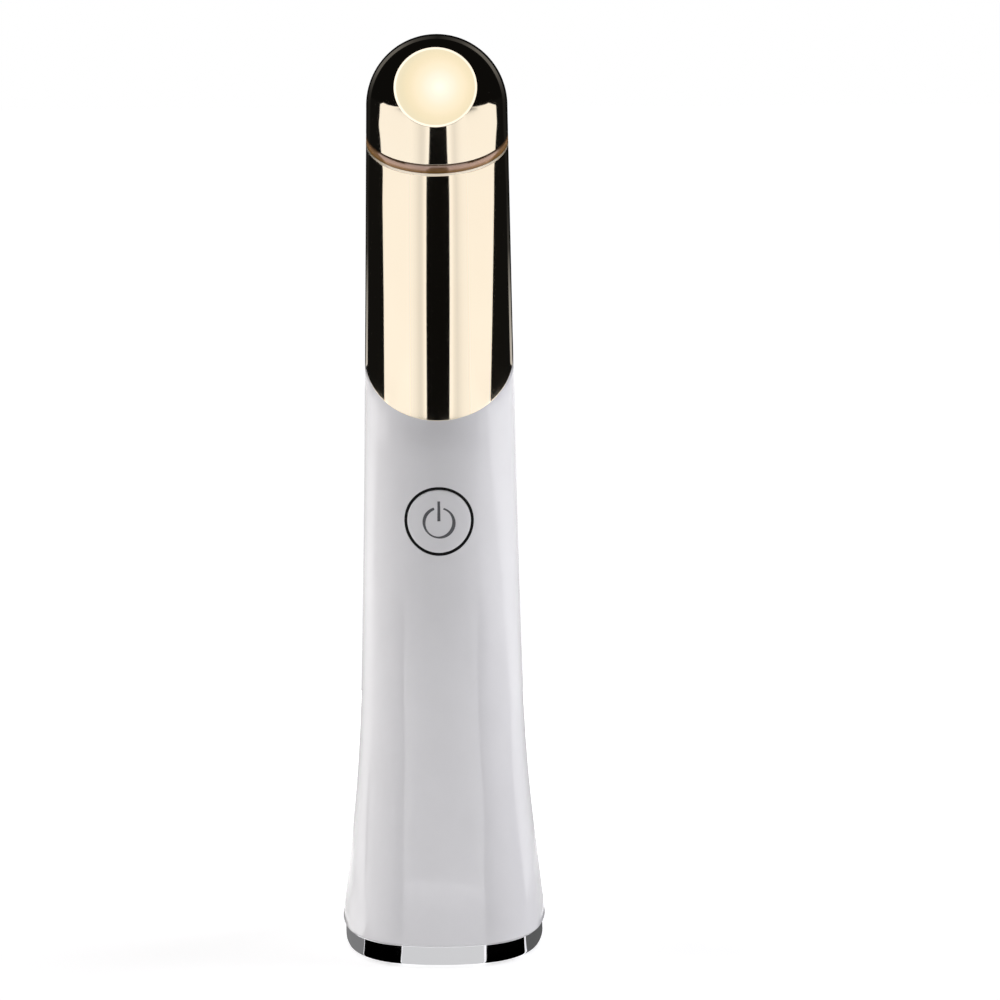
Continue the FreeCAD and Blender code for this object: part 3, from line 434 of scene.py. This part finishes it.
def cut_button_bore(housing):
    """Opens the bore for the button's seal."""
    length = 12                               # of the cutter, centred as far in front of the axis
    bpy.ops.mesh.primitive_cylinder_add(vertices=BUTTON_COLUMNS, radius=BUTTON_BORE * MM, depth=length * MM,
                                        location=(0, -length * MM, BUTTON_HEIGHT * MM),
                                        rotation=(math.pi / 2, 0, 0))
    cutter = bpy.context.object
    modifier = housing.modifiers.new("bore", "BOOLEAN")
    modifier.operation = "DIFFERENCE"
    modifier.object = cutter
    modifier.solver = "EXACT"
    evaluated = housing.evaluated_get(bpy.context.evaluated_depsgraph_get())
    opened = bpy.data.meshes.new_from_object(evaluated)
    housing.modifiers.clear()
    housing.data = opened
    bpy.data.objects.remove(cutter)
    set_form_normals(housing)


def set_form_normals(housing):
    """Gives the outer face the form's own normals, and leaves the other faces theirs."""
    mesh = housing.data
    step = 0.02                               # above and below each point, to find the form's slope there
    near = 0.01                               # a point this near to the form lies on it
    points = np.array([vertex.co for vertex in mesh.vertices]) / MM
    angle = section_angle(points)
    height = points[:, 2]
    above = ring(angle, np.minimum(height + step, HEAD_HEIGHT))
    below = ring(angle, np.maximum(height - step, HOUSING_BOTTOM))
    across = np.stack([-np.sin(angle), np.cos(angle), 0 * angle], axis=-1)
    normal = np.cross(across, above - below)
    normal /= np.linalg.norm(normal, axis=1, keepdims=True)
    surface = ring(angle, height)
    on_surface = np.linalg.norm(points[:, :2] - surface[:, :2], axis=1) < near
    on_surface &= height > HOUSING_BOTTOM + FOOT_ROUNDING - 2 * near
    custom = []
    for polygon in mesh.polygons:
        outer = all(on_surface[vertex] for vertex in polygon.vertices)
        custom += [tuple(map(float, normal[vertex])) if outer else (0, 0, 0) for vertex in polygon.vertices]
    mesh.normals_split_custom_set(custom)


def section_angle(points):
    """The normal angle of the form's section nearest to each point."""
    damping = 0.8
    angle = np.arctan2(points[:, 1], points[:, 0])
    for _ in range(30):
        near = ring(angle, points[:, 2])
        miss = np.arctan2(points[:, 1], points[:, 0]) - np.arctan2(near[:, 1], near[:, 0])
        miss = (miss + math.pi) % (2 * math.pi) - math.pi
        angle = angle + miss * damping
    return angle


def make_slanted_shell(name, low_seam, high_seam, row_count, material, node, slot, sink=0.0,
                       crown=0.0):
    """A thin shell between two slanted seams. It may be sunk at its edges and crowned in the middle."""
    rows = []
    for inset, drop in reversed(edge_roll(CLOSE_EDGE)):
        rows.append(slanted_ring(ANGLES, low_seam, drop, inset + sink))
    low = slanted_ring(ANGLES, low_seam, CLOSE_EDGE)[:, 2]
    high = slanted_ring(ANGLES, high_seam, -CLOSE_EDGE)[:, 2]
    rows.append(ring(ANGLES, low + HOLD, sink))
    for share in np.linspace(0, 1, row_count)[1:-1]:
        rows.append(ring(ANGLES, between(low, high, share), sink - crown * 4 * share * (1 - share)))
    rows.append(ring(ANGLES, high - HOLD, sink))
    for inset, drop in edge_roll(CLOSE_EDGE):
        rows.append(slanted_ring(ANGLES, high_seam, -drop, inset + sink))
    inner_low = slanted_ring(ANGLES, low_seam)[:, 2]
    inner_high = slanted_ring(ANGLES, high_seam)[:, 2]
    for share in np.linspace(1, 0, 12):
        rows.append(ring(ANGLES, between(inner_low, inner_high, share), THIN_WALL))
    rolled_shell(name, rows, material, node, slot)


HEAD_CENTRE = np.array([0, 0, HEAD_HEIGHT])
ACROSS = np.array([1.0, 0, 0])
FACE_NORMAL = np.array([0, -math.cos(FACET_ANGLE), math.sin(FACET_ANGLE)])


def head_point(direction, shrink=0.0):
    """Where a ray from the head's centre leaves the head, drawn in by a wall."""
    low = np.zeros(len(direction))
    high = np.full(len(direction), 30.0)      # well outside the head
    for _ in range(48):
        middle = (low + high) / 2
        point = HEAD_CENTRE + direction * middle[:, None]
        angle = np.arctan2(point[:, 1], point[:, 0])
        limit = np.linalg.norm(ring(angle, np.minimum(point[:, 2], HEAD_HEIGHT), shrink)[:, :2], axis=1)
        under = point[:, 2] < HEAD_HEIGHT
        inside = np.where(under, np.linalg.norm(point[:, :2], axis=1) < limit, middle < HEAD_RADIUS - shrink)
        low = np.where(inside, middle, low)
        high = np.where(inside, high, middle)
    return HEAD_CENTRE + direction * low[:, None]


def make_head():
    """Metal dome: rings about the contact face's axis, out to the slanted seam and back inside."""
    turns = np.arange(COLUMNS) * 2 * math.pi / COLUMNS
    up = np.cross(FACE_NORMAL, ACROSS)
    outward = np.cos(turns)[:, None] * ACROSS + np.sin(turns)[:, None] * up
    face_tilt = math.acos(FACET_DISTANCE / HEAD_RADIUS)

    def direction(tilt):
        return FACE_NORMAL * np.cos(tilt)[:, None] + outward * np.sin(tilt)[:, None]

    def seam_tilt(rise, shrink):
        """Tilt of each ray that meets the seam's plane on the surface."""
        low = np.full(COLUMNS, face_tilt + 0.02)
        high = np.full(COLUMNS, math.pi - 0.05)
        for _ in range(48):
            middle = (low + high) / 2
            point = head_point(direction(middle), shrink)
            over = point[:, 2] > HEAD_SEAM[0] + rise + point[:, 1] * math.tan(HEAD_SEAM[1])
            low = np.where(over, middle, low)
            high = np.where(over, high, middle)
        return low

    face = HEAD_CENTRE + FACE_NORMAL * (FACET_DISTANCE + FACE_PROUD)
    radii = (0.5, 1.5, 2.5, 3.5, 4.5, 5.3, FACE_RADIUS - HOLD, FACE_RADIUS)
    rows = [face + outward * radius for radius in radii]
    # A narrow bevel runs from the flat face out to the ball.
    bevel_tilt = math.asin(BEVEL_RADIUS / HEAD_RADIUS)
    bevel_rim = HEAD_CENTRE + HEAD_RADIUS * direction(np.full(COLUMNS, bevel_tilt))
    for share in (0.05, 0.95, 1.0):
        rows.append(between(face + outward * FACE_RADIUS, bevel_rim, share))
    # Below the head's centre the form is wider than the ball, so a level ledge leads out to it.
    ledge = bevel_rim.copy()
    angle = np.arctan2(ledge[:, 1], ledge[:, 0])
    reach = np.linalg.norm(ring(angle, np.minimum(ledge[:, 2], HEAD_HEIGHT))[:, :2], axis=1)
    inner_reach = np.linalg.norm(ledge[:, :2], axis=1)
    grow = np.where(ledge[:, 2] < HEAD_HEIGHT, reach / inner_reach, 1.0)
    ledge[:, :2] *= grow[:, None]
    rows.append(ledge)
    away = ledge - HEAD_CENTRE
    ledge_tilt = np.arccos(away @ FACE_NORMAL / np.linalg.norm(away, axis=1))
    last = seam_tilt(EDGE, 0.0)
    for share in (0.0006, 0.002, 0.005, *np.linspace(0, 1, 70)[1:-1], 0.998):
        rows.append(head_point(direction(between(ledge_tilt, last, share))))
    for inset, drop in edge_roll(EDGE):
        rows.append(head_point(direction(seam_tilt(drop, inset)), inset))
    inner_last = seam_tilt(0.0, THIN_WALL)
    for share in np.linspace(1, 0, 24):
        rows.append(head_point(direction(between(face_tilt, inner_last, share)), THIN_WALL))
    back = HEAD_CENTRE + FACE_NORMAL * (FACET_DISTANCE - THIN_WALL)
    rows += [back + outward * radius for radius in (4.0, 2.0, 0.5)]
    capped_shell("head_dome", rows, face, back, GOLD_HEAD, "wand", "head_cap", "plated_gold")


# ---------------------------------------------------------------- button

def button_ring(radius, sink):
    """Points round the button's axis on the wand's front face, sunk towards the axis."""
    turns = np.arange(BUTTON_COLUMNS) * 2 * math.pi / BUTTON_COLUMNS
    x = radius * np.cos(turns)
    height = BUTTON_HEIGHT + radius * np.sin(turns)
    return np.stack([x, front_depth(x, height) + sink, height], axis=-1)


def make_button():
    """Flush cap with a rounded rim, and a flange at its flat back."""
    rim = 0.12
    skirt = 1.6                               # how far down its wall follows the front's form
    flange_radius = 5.6
    flange_front = -9.2
    flange_back = flange_front + 0.7
    rows = [button_ring(radius, 0) for radius in np.linspace(0.3, BUTTON_RADIUS - rim, 14)]
    for turn in (0.4, 0.8, 1.2, math.pi / 2):
        rows.append(button_ring(BUTTON_RADIUS - rim + rim * math.sin(turn), rim * (1 - math.cos(turn))))
    rows.append(button_ring(BUTTON_RADIUS, skirt))
    for radius, y in ((BUTTON_RADIUS, flange_front), (flange_radius, flange_front),
                      (flange_radius, flange_back), (0.3, flange_back)):
        row = button_ring(radius, 0)
        row[:, 1] = y
        rows.append(row)
    front = (0, float(front_depth(np.array(0.0), np.array(BUTTON_HEIGHT))), BUTTON_HEIGHT)
    capped_shell("button_cap", rows, front, (0, flange_back, BUTTON_HEIGHT), WHITE, "power_button",
                 "power_button", "white_gloss")


def make_seal():
    """Black ring between the bore and the cap, a little below both."""
    gap = 0.005
    outer = BUTTON_BORE - gap
    inner = BUTTON_BORE - SEAL_WIDTH
    sink = 0.05
    edge = 0.05
    back = 1.9
    rows = [button_ring(inner, back), button_ring(inner, sink + edge), button_ring(inner + edge, sink),
            button_ring(outer - edge, sink), button_ring(outer, sink + edge), button_ring(outer, back)]
    rolled_shell("seal_ring", rows, SILICONE, "button_seal", "black_silicone", flip=True)


def strip(name, centre_line, width):
    """A printed line that follows the button's face, as a thin closed solid of one or changing width."""
    line = np.array(centre_line)
    tangent = np.gradient(line, axis=0)
    tangent /= np.linalg.norm(tangent, axis=1, keepdims=True)
    side = np.stack([-tangent[:, 1], tangent[:, 0]], axis=-1) * np.reshape(width, (-1, 1)) / 2
    proud, root = 0.012, 0.03                 # it stands above the face and reaches into the cap
    top = 0.9                                 # width of its top as a share
    rows = []
    for shift, sink in ((1, root), (1, 0.0), (top, -proud), (-top, -proud), (-1, 0.0), (-1, root)):
        flat = line + side * shift
        height = BUTTON_HEIGHT + flat[:, 1]
        rows.append(np.stack([flat[:, 0], front_depth(flat[:, 0], height) + sink, height], axis=-1))
    points = np.concatenate(rows)
    count = len(line)
    faces = []
    for row in range(len(rows)):
        start, following = row * count, (row + 1) % len(rows) * count
        for step in range(count - 1):
            faces.append((start + step, start + step + 1, following + step + 1, following + step))
    faces.append(tuple(row * count for row in reversed(range(len(rows)))))
    faces.append(tuple(row * count + count - 1 for row in range(len(rows))))
    mesh_object(name, points, faces, PRINT, "power_button")


def make_symbol():
    """Generic power sign: an open ring with a bar, both drawn as with a broad pen."""
    radius = 2.19
    gap = math.radians(18)
    low = -0.19
    turns = np.linspace(math.pi / 2 + gap, 2.5 * math.pi - gap, 90)
    arc = [(radius * math.cos(turn), low + radius * math.sin(turn)) for turn in turns]
    strip("symbol_arc", arc, 0.385 + 0.125 * np.cos(2 * turns + 0.9) + 0.03 * np.cos(turns))
    strip("symbol_bar", [(0, z) for z in np.linspace(0.04, 2.98, 16)], np.linspace(0.46, 0.38, 16))


# ---------------------------------------------------------------- chrome trim

def make_trim():
    """Chrome ring under the housing, rounded at its lower edge."""
    half_width, bow_radius = STATIONS[0][1:]
    outer, inner = 0.4, 3.1                   # insets of its faces
    low, top = 0.3, HOUSING_BOTTOM
    fillet = 0.55
    profile = [(inner, low), (inner, top), (outer + 0.6, top), (outer + 0.12, top),
               (outer + 0.035, top - 0.035), (outer, top - 0.12), (outer, top - 0.15), (outer, top - 0.5),
               (outer, low + fillet + 0.4), (outer, low + fillet + 0.03)]
    for step in range(9):
        turn = step / 8 * math.pi / 2
        profile.append((outer + fillet * (1 - math.cos(turn)), low + fillet * (1 - math.sin(turn))))
    rows = []
    for inset, height in profile:
        x, y = section(ANGLES, half_width - inset, bow_radius - inset)
        rows.append(np.stack([x, y, np.full(COLUMNS, height)], axis=-1))
    rolled_shell("trim_ring", rows, CHROME, "base_trim", "chrome_trim", flip=True)


make_housing()
make_slanted_shell("sleeve_shell", SLEEVE_SEAM, LIP_SEAM, 90, GOLD, "gold_sleeve", "gold_shell")
make_slanted_shell("sleeve_lip", LIP_SEAM, INSULATOR_SEAM, 4, SATIN, "gold_sleeve", "gold_shell")
# The insulator band wears the smoked plastic with painted shade and a painted reflection.
make_slanted_shell("insulator_band", INSULATOR_SEAM, HEAD_SEAM, 14, SMOKED_PAINTED_SHADE, "insulating_ring",
                   "smoked_plastic", sink=0.06, crown=0.06)
make_head()
make_button()
make_seal()
make_symbol()
make_trim()


# ---------------------------------------------------------------- floor and light

WORLD_LEVEL = 0.118                           # diffuse light from the white room
FLOOR_NEAR, FLOOR_FAR = 0.62, 0.92            # the floor's own white for camera and mirrors, near and far
FLOOR_RISE = (0.2, 0.9)                       # metres from the wand between which that white rises
FLOOR_SIZE = 4000                             # half its width
CARD_RADIUS = 60.0                            # cards and flags stand on a circle round the wand
BAND_RADIUS = CARD_RADIUS + 1                 # and the bands just behind them
FLAG_GLOW, REAR_FLAG_GLOW = 0.004, 0.006      # what is left of the light on the black flags
WHITE_LIGHT, BLACK = (1, 1, 1, 1), (0, 0, 0, 1)


def white_to_view(tree):
    """1 for camera, glossy and transmission rays, 0 for the others."""
    path = tree.nodes.new("ShaderNodeLightPath")
    total = path.outputs["Is Camera Ray"]
    for kind in ("Is Glossy Ray", "Is Transmission Ray"):
        add = tree.nodes.new("ShaderNodeMath")
        add.operation = "ADD"
        add.use_clamp = True
        tree.links.new(total, add.inputs[0])
        tree.links.new(path.outputs[kind], add.inputs[1])
        total = add.outputs["Value"]
    return total


def make_world():
    """White for the camera, mirrors and glass; a softer level for diffuse light."""
    world = bpy.data.worlds.new("studio")
    bpy.context.scene.world = world
    world.use_nodes = True
    tree = world.node_tree
    background = tree.nodes["Background"]
    background.inputs["Color"].default_value = WHITE_LIGHT
    tree.links.new(map_range(tree, white_to_view(tree), WORLD_LEVEL, 1.0), background.inputs["Strength"])


def stage_piece(name, points, faces, material):
    """A piece of the studio, with points in millimetres."""
    mesh = bpy.data.meshes.new(name)
    mesh.from_pydata([Vector(point) * MM for point in points], [], faces)
    mesh.materials.append(material)
    piece = bpy.data.objects.new(name, mesh)
    bpy.context.scene.collection.objects.link(piece)
    return piece


def make_floor():
    """Pale floor that keeps the wand's shadow."""
    material, tree, shader = new_material("floor_white")
    shader.inputs["Base Color"].default_value = (0.8, 0.8, 0.8, 1)
    shader.inputs["Roughness"].default_value = 0.9
    shader.inputs["Specular IOR Level"].default_value = 0
    shader.inputs["Emission Color"].default_value = WHITE_LIGHT
    glow = map_range(tree, measure(tree, "LENGTH"), FLOOR_NEAR, FLOOR_FAR, *FLOOR_RISE)
    seen = tree.nodes.new("ShaderNodeMath")
    seen.operation = "MULTIPLY"
    tree.links.new(white_to_view(tree), seen.inputs[0])
    tree.links.new(glow, seen.inputs[1])
    tree.links.new(seen.outputs["Value"], shader.inputs["Emission Strength"])
    corners = [(x * FLOOR_SIZE, y * FLOOR_SIZE, 0) for x, y in ((-1, -1), (1, -1), (1, 1), (-1, 1))]
    stage_piece("floor", corners, [(0, 1, 2, 3)], material)


def glowing_material(name):
    """Black, but for the light it sends out."""
    material, tree, shader = new_material(name)
    shader.inputs["Base Color"].default_value = BLACK
    shader.inputs["Specular IOR Level"].default_value = 0
    shader.inputs["Emission Color"].default_value = WHITE_LIGHT
    return material, tree, shader


def make_card_material():
    """The cards' glow; each point of a card has its own level, and a black flag has next to none."""
    material, tree, shader = glowing_material("card")
    level = tree.nodes.new("ShaderNodeAttribute")
    level.attribute_name = "glow"
    tree.links.new(level.outputs["Fac"], shader.inputs["Emission Strength"])
    return material


CARD = make_card_material()


def for_reflections(piece):
    """Lets only mirrors see a piece."""
    piece.visible_camera = False
    piece.visible_diffuse = False
    piece.visible_shadow = False
    piece.visible_transmission = False


def card(name, points, faces, glows):
    """A card from points that each have their own glow."""
    piece = stage_piece(name, points, faces, CARD)
    levels = piece.data.attributes.new("glow", "FLOAT", "POINT")
    levels.data.foreach_set("value", [float(glow) for glow in glows])
    for_reflections(piece)


def around(turn, radius, height):
    """A point at degrees from the front, + to the right."""
    return radius * math.sin(math.radians(turn)), -radius * math.cos(math.radians(turn)), height


def sheet_faces(rows, columns):
    """Quads between rows of points, open at both ends."""
    return [(start, start + 1, start + columns + 1, start + columns)
            for row in range(rows - 1) for start in range(row * columns, (row + 1) * columns - 1)]


def value_at(share, profile):
    """The value of an evenly spaced profile at a share of its length."""
    return np.interp(share, np.linspace(0, 1, len(profile)), profile)


def upright_card(name, rows, glow=1.0, radius=CARD_RADIUS, profile=(1, 1)):
    """A card bent round the wand. Each row is (height, first turn, last turn[, strength]), lowest first,
    and its height may be a pair. The profile spreads the glow from the first turn to the last."""
    steps = 30
    points, glows = [], []
    for height, first, last, *strength in rows:
        start, end = height if isinstance(height, tuple) else (height, height)
        for share in np.linspace(0, 1, steps + 1):
            points.append(around(between(first, last, share), radius, between(start, end, share)))
            glows.append(glow * (strength[0] if strength else 1) * value_at(share, profile))
    card(name, points, sheet_faces(len(rows), steps + 1), glows)


def floor_card(name, first, last, glow, reach=15.0, level=0.1):
    """A card on the floor between two rays, each (x, y, heading in degrees), mirrored by the trim."""
    under, bulge = 0.96, 1.15                 # it starts under the trim, and its outer edge bends outwards
    points = []
    for x, y, heading in (first, last):
        across, along, _ = around(heading, reach, level)
        points += [(x * under, y * under, level), (x + across, y + along, level)]
    inner_first, outer_first, inner_last, outer_last = points
    corner = ((outer_first[0] + outer_last[0]) / 2 * bulge,
              (outer_first[1] + outer_last[1]) / 2 * bulge, level)
    order = [inner_first, outer_first, corner, outer_last, inner_last]
    card(name, order, [(0, 1, 2, 3, 4)], [glow] * len(order))


def foot_card(name, first, last, rings, profile):
    """A card on the floor behind one side, mirrored by the housing's foot. Rings are (radius, strength)."""
    level = 0.05
    columns = 25
    points, glows = [], []
    for radius, strength in rings:
        for turn, share in zip(np.linspace(first, last, columns), np.linspace(0, 1, columns)):
            points.append(around(turn, radius, level))
            glows.append(strength * value_at(share, profile))
    card(name, points, sheet_faces(len(rings), columns), glows)


def make_head_lamp():
    """Round soft lamp that the contact face mirrors: bright in its middle and at its rim, dimmer between."""
    centre = HEAD_CENTRE + FACE_NORMAL * FACET_DISTANCE
    reach = 50.0
    fade_radius = 12.0                        # where the colours end and the even rim starts
    glow = 1.35
    lift = math.radians(38.6)
    sway = math.radians(-0.7)
    tilts = np.radians(np.linspace(1, 36, 24))
    columns = 48
    turns = np.arange(columns) * 2 * math.pi / columns
    axis = np.array([math.sin(sway) * math.cos(lift), -math.cos(sway) * math.cos(lift), math.sin(lift)])
    across = ACROSS - axis * ACROSS.dot(axis)
    across /= np.linalg.norm(across)
    up = np.cross(axis, across)
    points = [centre + axis * reach]
    for tilt in tilts:
        for turn in turns:
            outward = across * math.cos(turn) + up * math.sin(turn)
            points.append(centre + (axis * math.cos(tilt) + outward * math.sin(tilt)) * reach)
    faces = [(0, 1 + column, 1 + (column + 1) % columns) for column in range(columns)]
    for row in range(len(tilts) - 1):
        start = 1 + row * columns
        for column in range(columns):
            side = (column + 1) % columns
            faces.append((start + column, start + columns + column, start + columns + side, start + side))
    material, tree, shader = glowing_material("head_lamp")
    away = measure(tree, "DISTANCE", Vector(points[0]) * MM)
    fade = map_range(tree, away, 0, 1, 0, fade_radius * MM)
    ramp = add_ramp(tree, fade, shader.inputs["Emission Color"], (
        (0.0, (1.0, 1.0, 1.0)), (0.15, (0.82, 0.82, 0.84)), (0.29, (0.78, 0.76, 0.69)),
        (0.44, (0.715, 0.69, 0.58)), (0.54, (0.65, 0.65, 0.56)), (0.70, (0.82, 0.82, 0.84)),
        (1.0, (1.0, 1.0, 1.0))))
    ramp.color_ramp.interpolation = "EASE"
    shader.inputs["Emission Strength"].default_value = glow
    for_reflections(stage_piece("head_lamp", points, faces, material))


def make_rear_arch():
    """Dim arch behind the head, mirrored as the thin line inside the wand's outline."""
    foot_levels = ((84.0, 0.55), (94.0, 0.33), (103.0, 0.05), (112.0, 0.015))   # height, glow
    foot_reach = (24.5, 36.0)
    arch_reach = (29.0, 45.0)
    arch_glow = 0.13
    arch_fade = ((0, 0.35, 0.6, 0.85, 1), (0.1, 0.4, 1, 0.9, 0.1))              # from its top to its ends
    middle = 126.0
    depth = 35.0
    points, glows = [], []

    def add_foot(side):
        for height, glow in foot_levels if side < 0 else reversed(foot_levels):
            for reach in foot_reach:
                points.append((side * reach, depth, height))
                glows.append(glow)

    add_foot(-1)
    for turn in np.radians(np.linspace(180, 0, 37)):
        for reach in arch_reach:
            points.append((reach * math.cos(turn), depth, middle + reach * math.sin(turn)))
            glows.append(arch_glow * np.interp(abs(math.cos(turn)), *arch_fade))
    add_foot(1)
    card("rear_arch", points, sheet_faces(len(points) // 2, 2), glows)


def soft_light(name, place, target, size, power, tone=(1, 1, 1)):
    """Soft box that lights the wand but shows in no mirror."""
    light = bpy.data.lights.new(name, "AREA")
    light.shape = "RECTANGLE"
    light.size, light.size_y = size
    light.energy = power
    light.color = tone
    piece = bpy.data.objects.new(name, light)
    bpy.context.scene.collection.objects.link(piece)
    piece.location = place
    piece.rotation_euler = (Vector(target) - Vector(place)).to_track_quat("-Z", "Y").to_euler()
    piece.visible_glossy = False
    piece.visible_camera = False


make_floor()
make_world()
soft_light("side_left", (-0.6, 0.12, 0.25), (0, 0, 0.06), (0.4, 0.6), 2.85, (1.0, 0.97, 0.975))
soft_light("side_right", (0.6, 0.12, 0.25), (0, 0, 0.06), (0.4, 0.6), 3.4, (0.94, 0.935, 1.0))
soft_light("low_front", (0, -0.15, 0.01), (0, 0, 0.02), (0.20, 0.02), 0.107, (0.97, 0.965, 1.0))
soft_light("low_back", (0, 0.15, 0.01), (0, 0, 0.02), (0.20, 0.02), 0.107)

# Dark strip in front and dark quarters behind, as high as the sleeve and the head mirror them
FRONT_EDGES = ((77.0, -16.4, 14.6), (96.4, -16.2, 17.0), (112.5, -15.1, 18.2), (116.6, -14.6, 18.0),
               (118.4, -11.2, 16.2), (127.4, -8.6, 14.6))
upright_card("flag_front", FRONT_EDGES, FLAG_GLOW)
upright_card("soft_left", [(height, left, -40) for height, left, _ in FRONT_EDGES],
             profile=(1.12, 1.0, 0.84, 0.80, 0.85, 0.92, 0.96, 1.0, 1.0))
upright_card("soft_right", [(height, right, 45) for height, _, right in FRONT_EDGES],
             profile=(1.12, 1.03, 0.88, 0.82, 0.89, 0.95, 0.99, 1.0, 1.0))
REAR_LOW = (81.9, 78.4)
upright_card("flag_rear_left", [(height, -180, -turn) for height, turn in (
    (REAR_LOW, 84.5), (95.2, 86.5), (111.4, 89.7), (116.6, 89), (119.6, 93.5), (121.7, 95.5), (123.7, 99.5),
    (126.1, 96.5), (132.4, 95))], REAR_FLAG_GLOW)
upright_card("flag_rear_right", [(height, 180, turn) for height, turn in (
    (REAR_LOW, 78.5), (95.2, 87), (111.4, 95), (116.6, 97), (119.6, 101), (121.7, 103.5), (123.7, 107),
    (126.1, 106), (132.4, 96))], REAR_FLAG_GLOW)

# Dark hood over the head, open in front; its rim, as (turn, height), is highest at the sides
HOOD_TOP = 200.0
HOOD_OPENING = -45                            # where the open part of the rim starts
HOOD_RIM = ((-180, 128.4), (-99, 128.4), (-88.5, 130.7), (-78, 128.7), (-64, 127.2), (-45, 126.4),
            (45, 126.4), (64, 126.9), (78, 128.4), (87, 130.1), (102, 127.4), (180, 127.4))
for count, ((first, start), (last, end)) in enumerate(zip(HOOD_RIM, HOOD_RIM[1:])):
    if first != HOOD_OPENING:
        upright_card(f"hood_{count}", [((start, end), first, last), (HOOD_TOP, first, last)], FLAG_GLOW)
# Its top is wider than the walls and a little lower, so that no light comes in between
disc = [around(turn, CARD_RADIUS * 1.02, HOOD_TOP - 0.5) for turn in range(0, 360, 10)]
card("hood_top", disc, [tuple(range(len(disc)))], [FLAG_GLOW] * len(disc))
make_head_lamp()
make_rear_arch()

# A soft dark patch below the front strip, mirrored at the top of the white front
for name, first, last in (("shade_left", -75, -2), ("shade_right", 55, -2)):
    upright_card(name, [(72.5, first, last), (77.0, first, last)], profile=(1.0, 0.85, 0.45, 0.1, 0))


def on_side(side, rows):
    """A card's rows on the left side (-1) or the right (1)."""
    return [(height, side * first, side * last, *strength) for height, first, last, *strength in rows]


# Bright strips behind each side, fading to the back, and darker cards beside the front.
# Band edges are (height, first turn, strength), the others rows as upright_card takes them.
BAND_END = 160
BAND_FADE = (2.6, 2.3, 1.7, 1.2, 0.85, 0.75)
BAND_EDGES = {-1: ((0.2, 77, 1.05), (2.5, 86, 1.0), (5.5, 92, 0.96), (14, 105, 0.80), (28.4, 106, 0.80),
                   (45.4, 109, 0.92), (71.4, 103, 0.92), (78.0, 102, 0.92)),
              1: ((0.2, 96, 0.70), (5.5, 97, 0.72), (16, 96, 0.72), (28.4, 104, 0.80), (45.4, 94, 0.95),
                  (71.4, 75, 1.2), (78.0, 73, 1.2))}
CORNER_FADE = {-1: (0.2, 0.75, 1.15, 1.45, 1.75, 1.9), 1: (0.1, 0.55, 0.85, 0.95, 1.0, 1.0)}
CORNER_EDGES = {-1: ((0.2, 25.5, 77, 1), (2.5, 26.3, 86, 1), (9.5, 28.8, 92, 1), (20.4, 39, 105, 0.95),
                     (31, 45.8, 106, 1.05), (47, 48, 109, 1.05)),
                1: ((0.2, 25.7, 96, 0.7), (9.9, 31.6, 97, 0.8), (20.4, 43.9, 98, 1.1), (31, 44.5, 103, 1.3),
                    (47, 49.3, 93, 2.0))}
UPPER_FADE = {-1: (1.0, 1.1, 1.3, 1.5, 1.6, 1.7), 1: (1.3, 1.9, 2.0, 2.0, 1.9, 1.8)}
FRONT_FADE = {-1: (1.0, 1.4, 1.8), 1: (1.0, 1.25, 1.5)}
FRONT_CARDS = {-1: ((12, 25, 30.5), (20.4, 25, 38.8), (31, 25, 45.6), (38, 25, 46.6)),
               1: ((9.9, 22, 31.4), (20.4, 22, 43.7), (31, 22, 44.3), (47, 22, 49.1), (70, 22, 49.8))}
for side, edges in BAND_EDGES.items():
    band = [(height, turn, BAND_END, strength) for height, turn, strength in edges]
    upper = [(47, 50, edges[-3][1]), (71.4, 50, edges[-2][1])]
    upright_card(f"band_{side + 1}", on_side(side, band), radius=BAND_RADIUS, profile=BAND_FADE)
    upright_card(f"corner_{side + 1}", on_side(side, CORNER_EDGES[side]), profile=CORNER_FADE[side])
    upright_card(f"upper_{side + 1}", on_side(side, upper), profile=UPPER_FADE[side])
    upright_card(f"front_{side + 1}", on_side(side, FRONT_CARDS[side]), profile=FRONT_FADE[side])
upright_card("upper_top", [(72.4, 55.4, 74.6), (77.4, 55.4, 73.0)], glow=1.9)
upright_card("card_behind", [(0.2, 160, 200), (81.9, 160, 200)], glow=0.75, radius=BAND_RADIUS)

foot_card("foot_left", -77, -168, ((24, 1.3), (30, 1.5), (40, 1.9), (50, 1.95), (60.9, 1.9)),
          (1.6, 1.4, 1.12, 0.9, 0.62, 0.62, 0.65, 0.65, 0.65, 0.65))
foot_card("foot_right", 96, 170, ((24, 0.6), (30, 0.75), (42, 0.75), (50, 0.92), (60.9, 0.8)), (1.1, 1, 1, 1))

# Cards on the floor that the chrome trim mirrors
floor_card("card_front", (-6.2, -14.4, -26.2), (6.2, -14.4, 26.5), 0.70)
floor_card("flag_floor_left", (-6.3, -14.4, -27.0), (-11.6, -11.4, -94.5), 0)
floor_card("flag_floor_right", (6.5, -14.4, 28.4), (12.0, -11.1, 101.5), 0)
floor_card("card_side_left", (-11.7, -11.3, -95.5), (-15.2, -2.0, -172), 0.22)
floor_card("card_side_right", (12.4, -10.6, 104), (15.2, -2.0, 172), 0.11)

# And at its back
floor_card("card_back", (-6.2, 14.4, -158), (6.2, 14.4, 158), 0.70, reach=8, level=0.08)
for side in (-1, 1):
    floor_card(f"flag_back_{side + 1}", (side * 6.3, 14.4, side * 157), (side * 11.5, 11.6, side * 140), 0,
               reach=8, level=0.08)
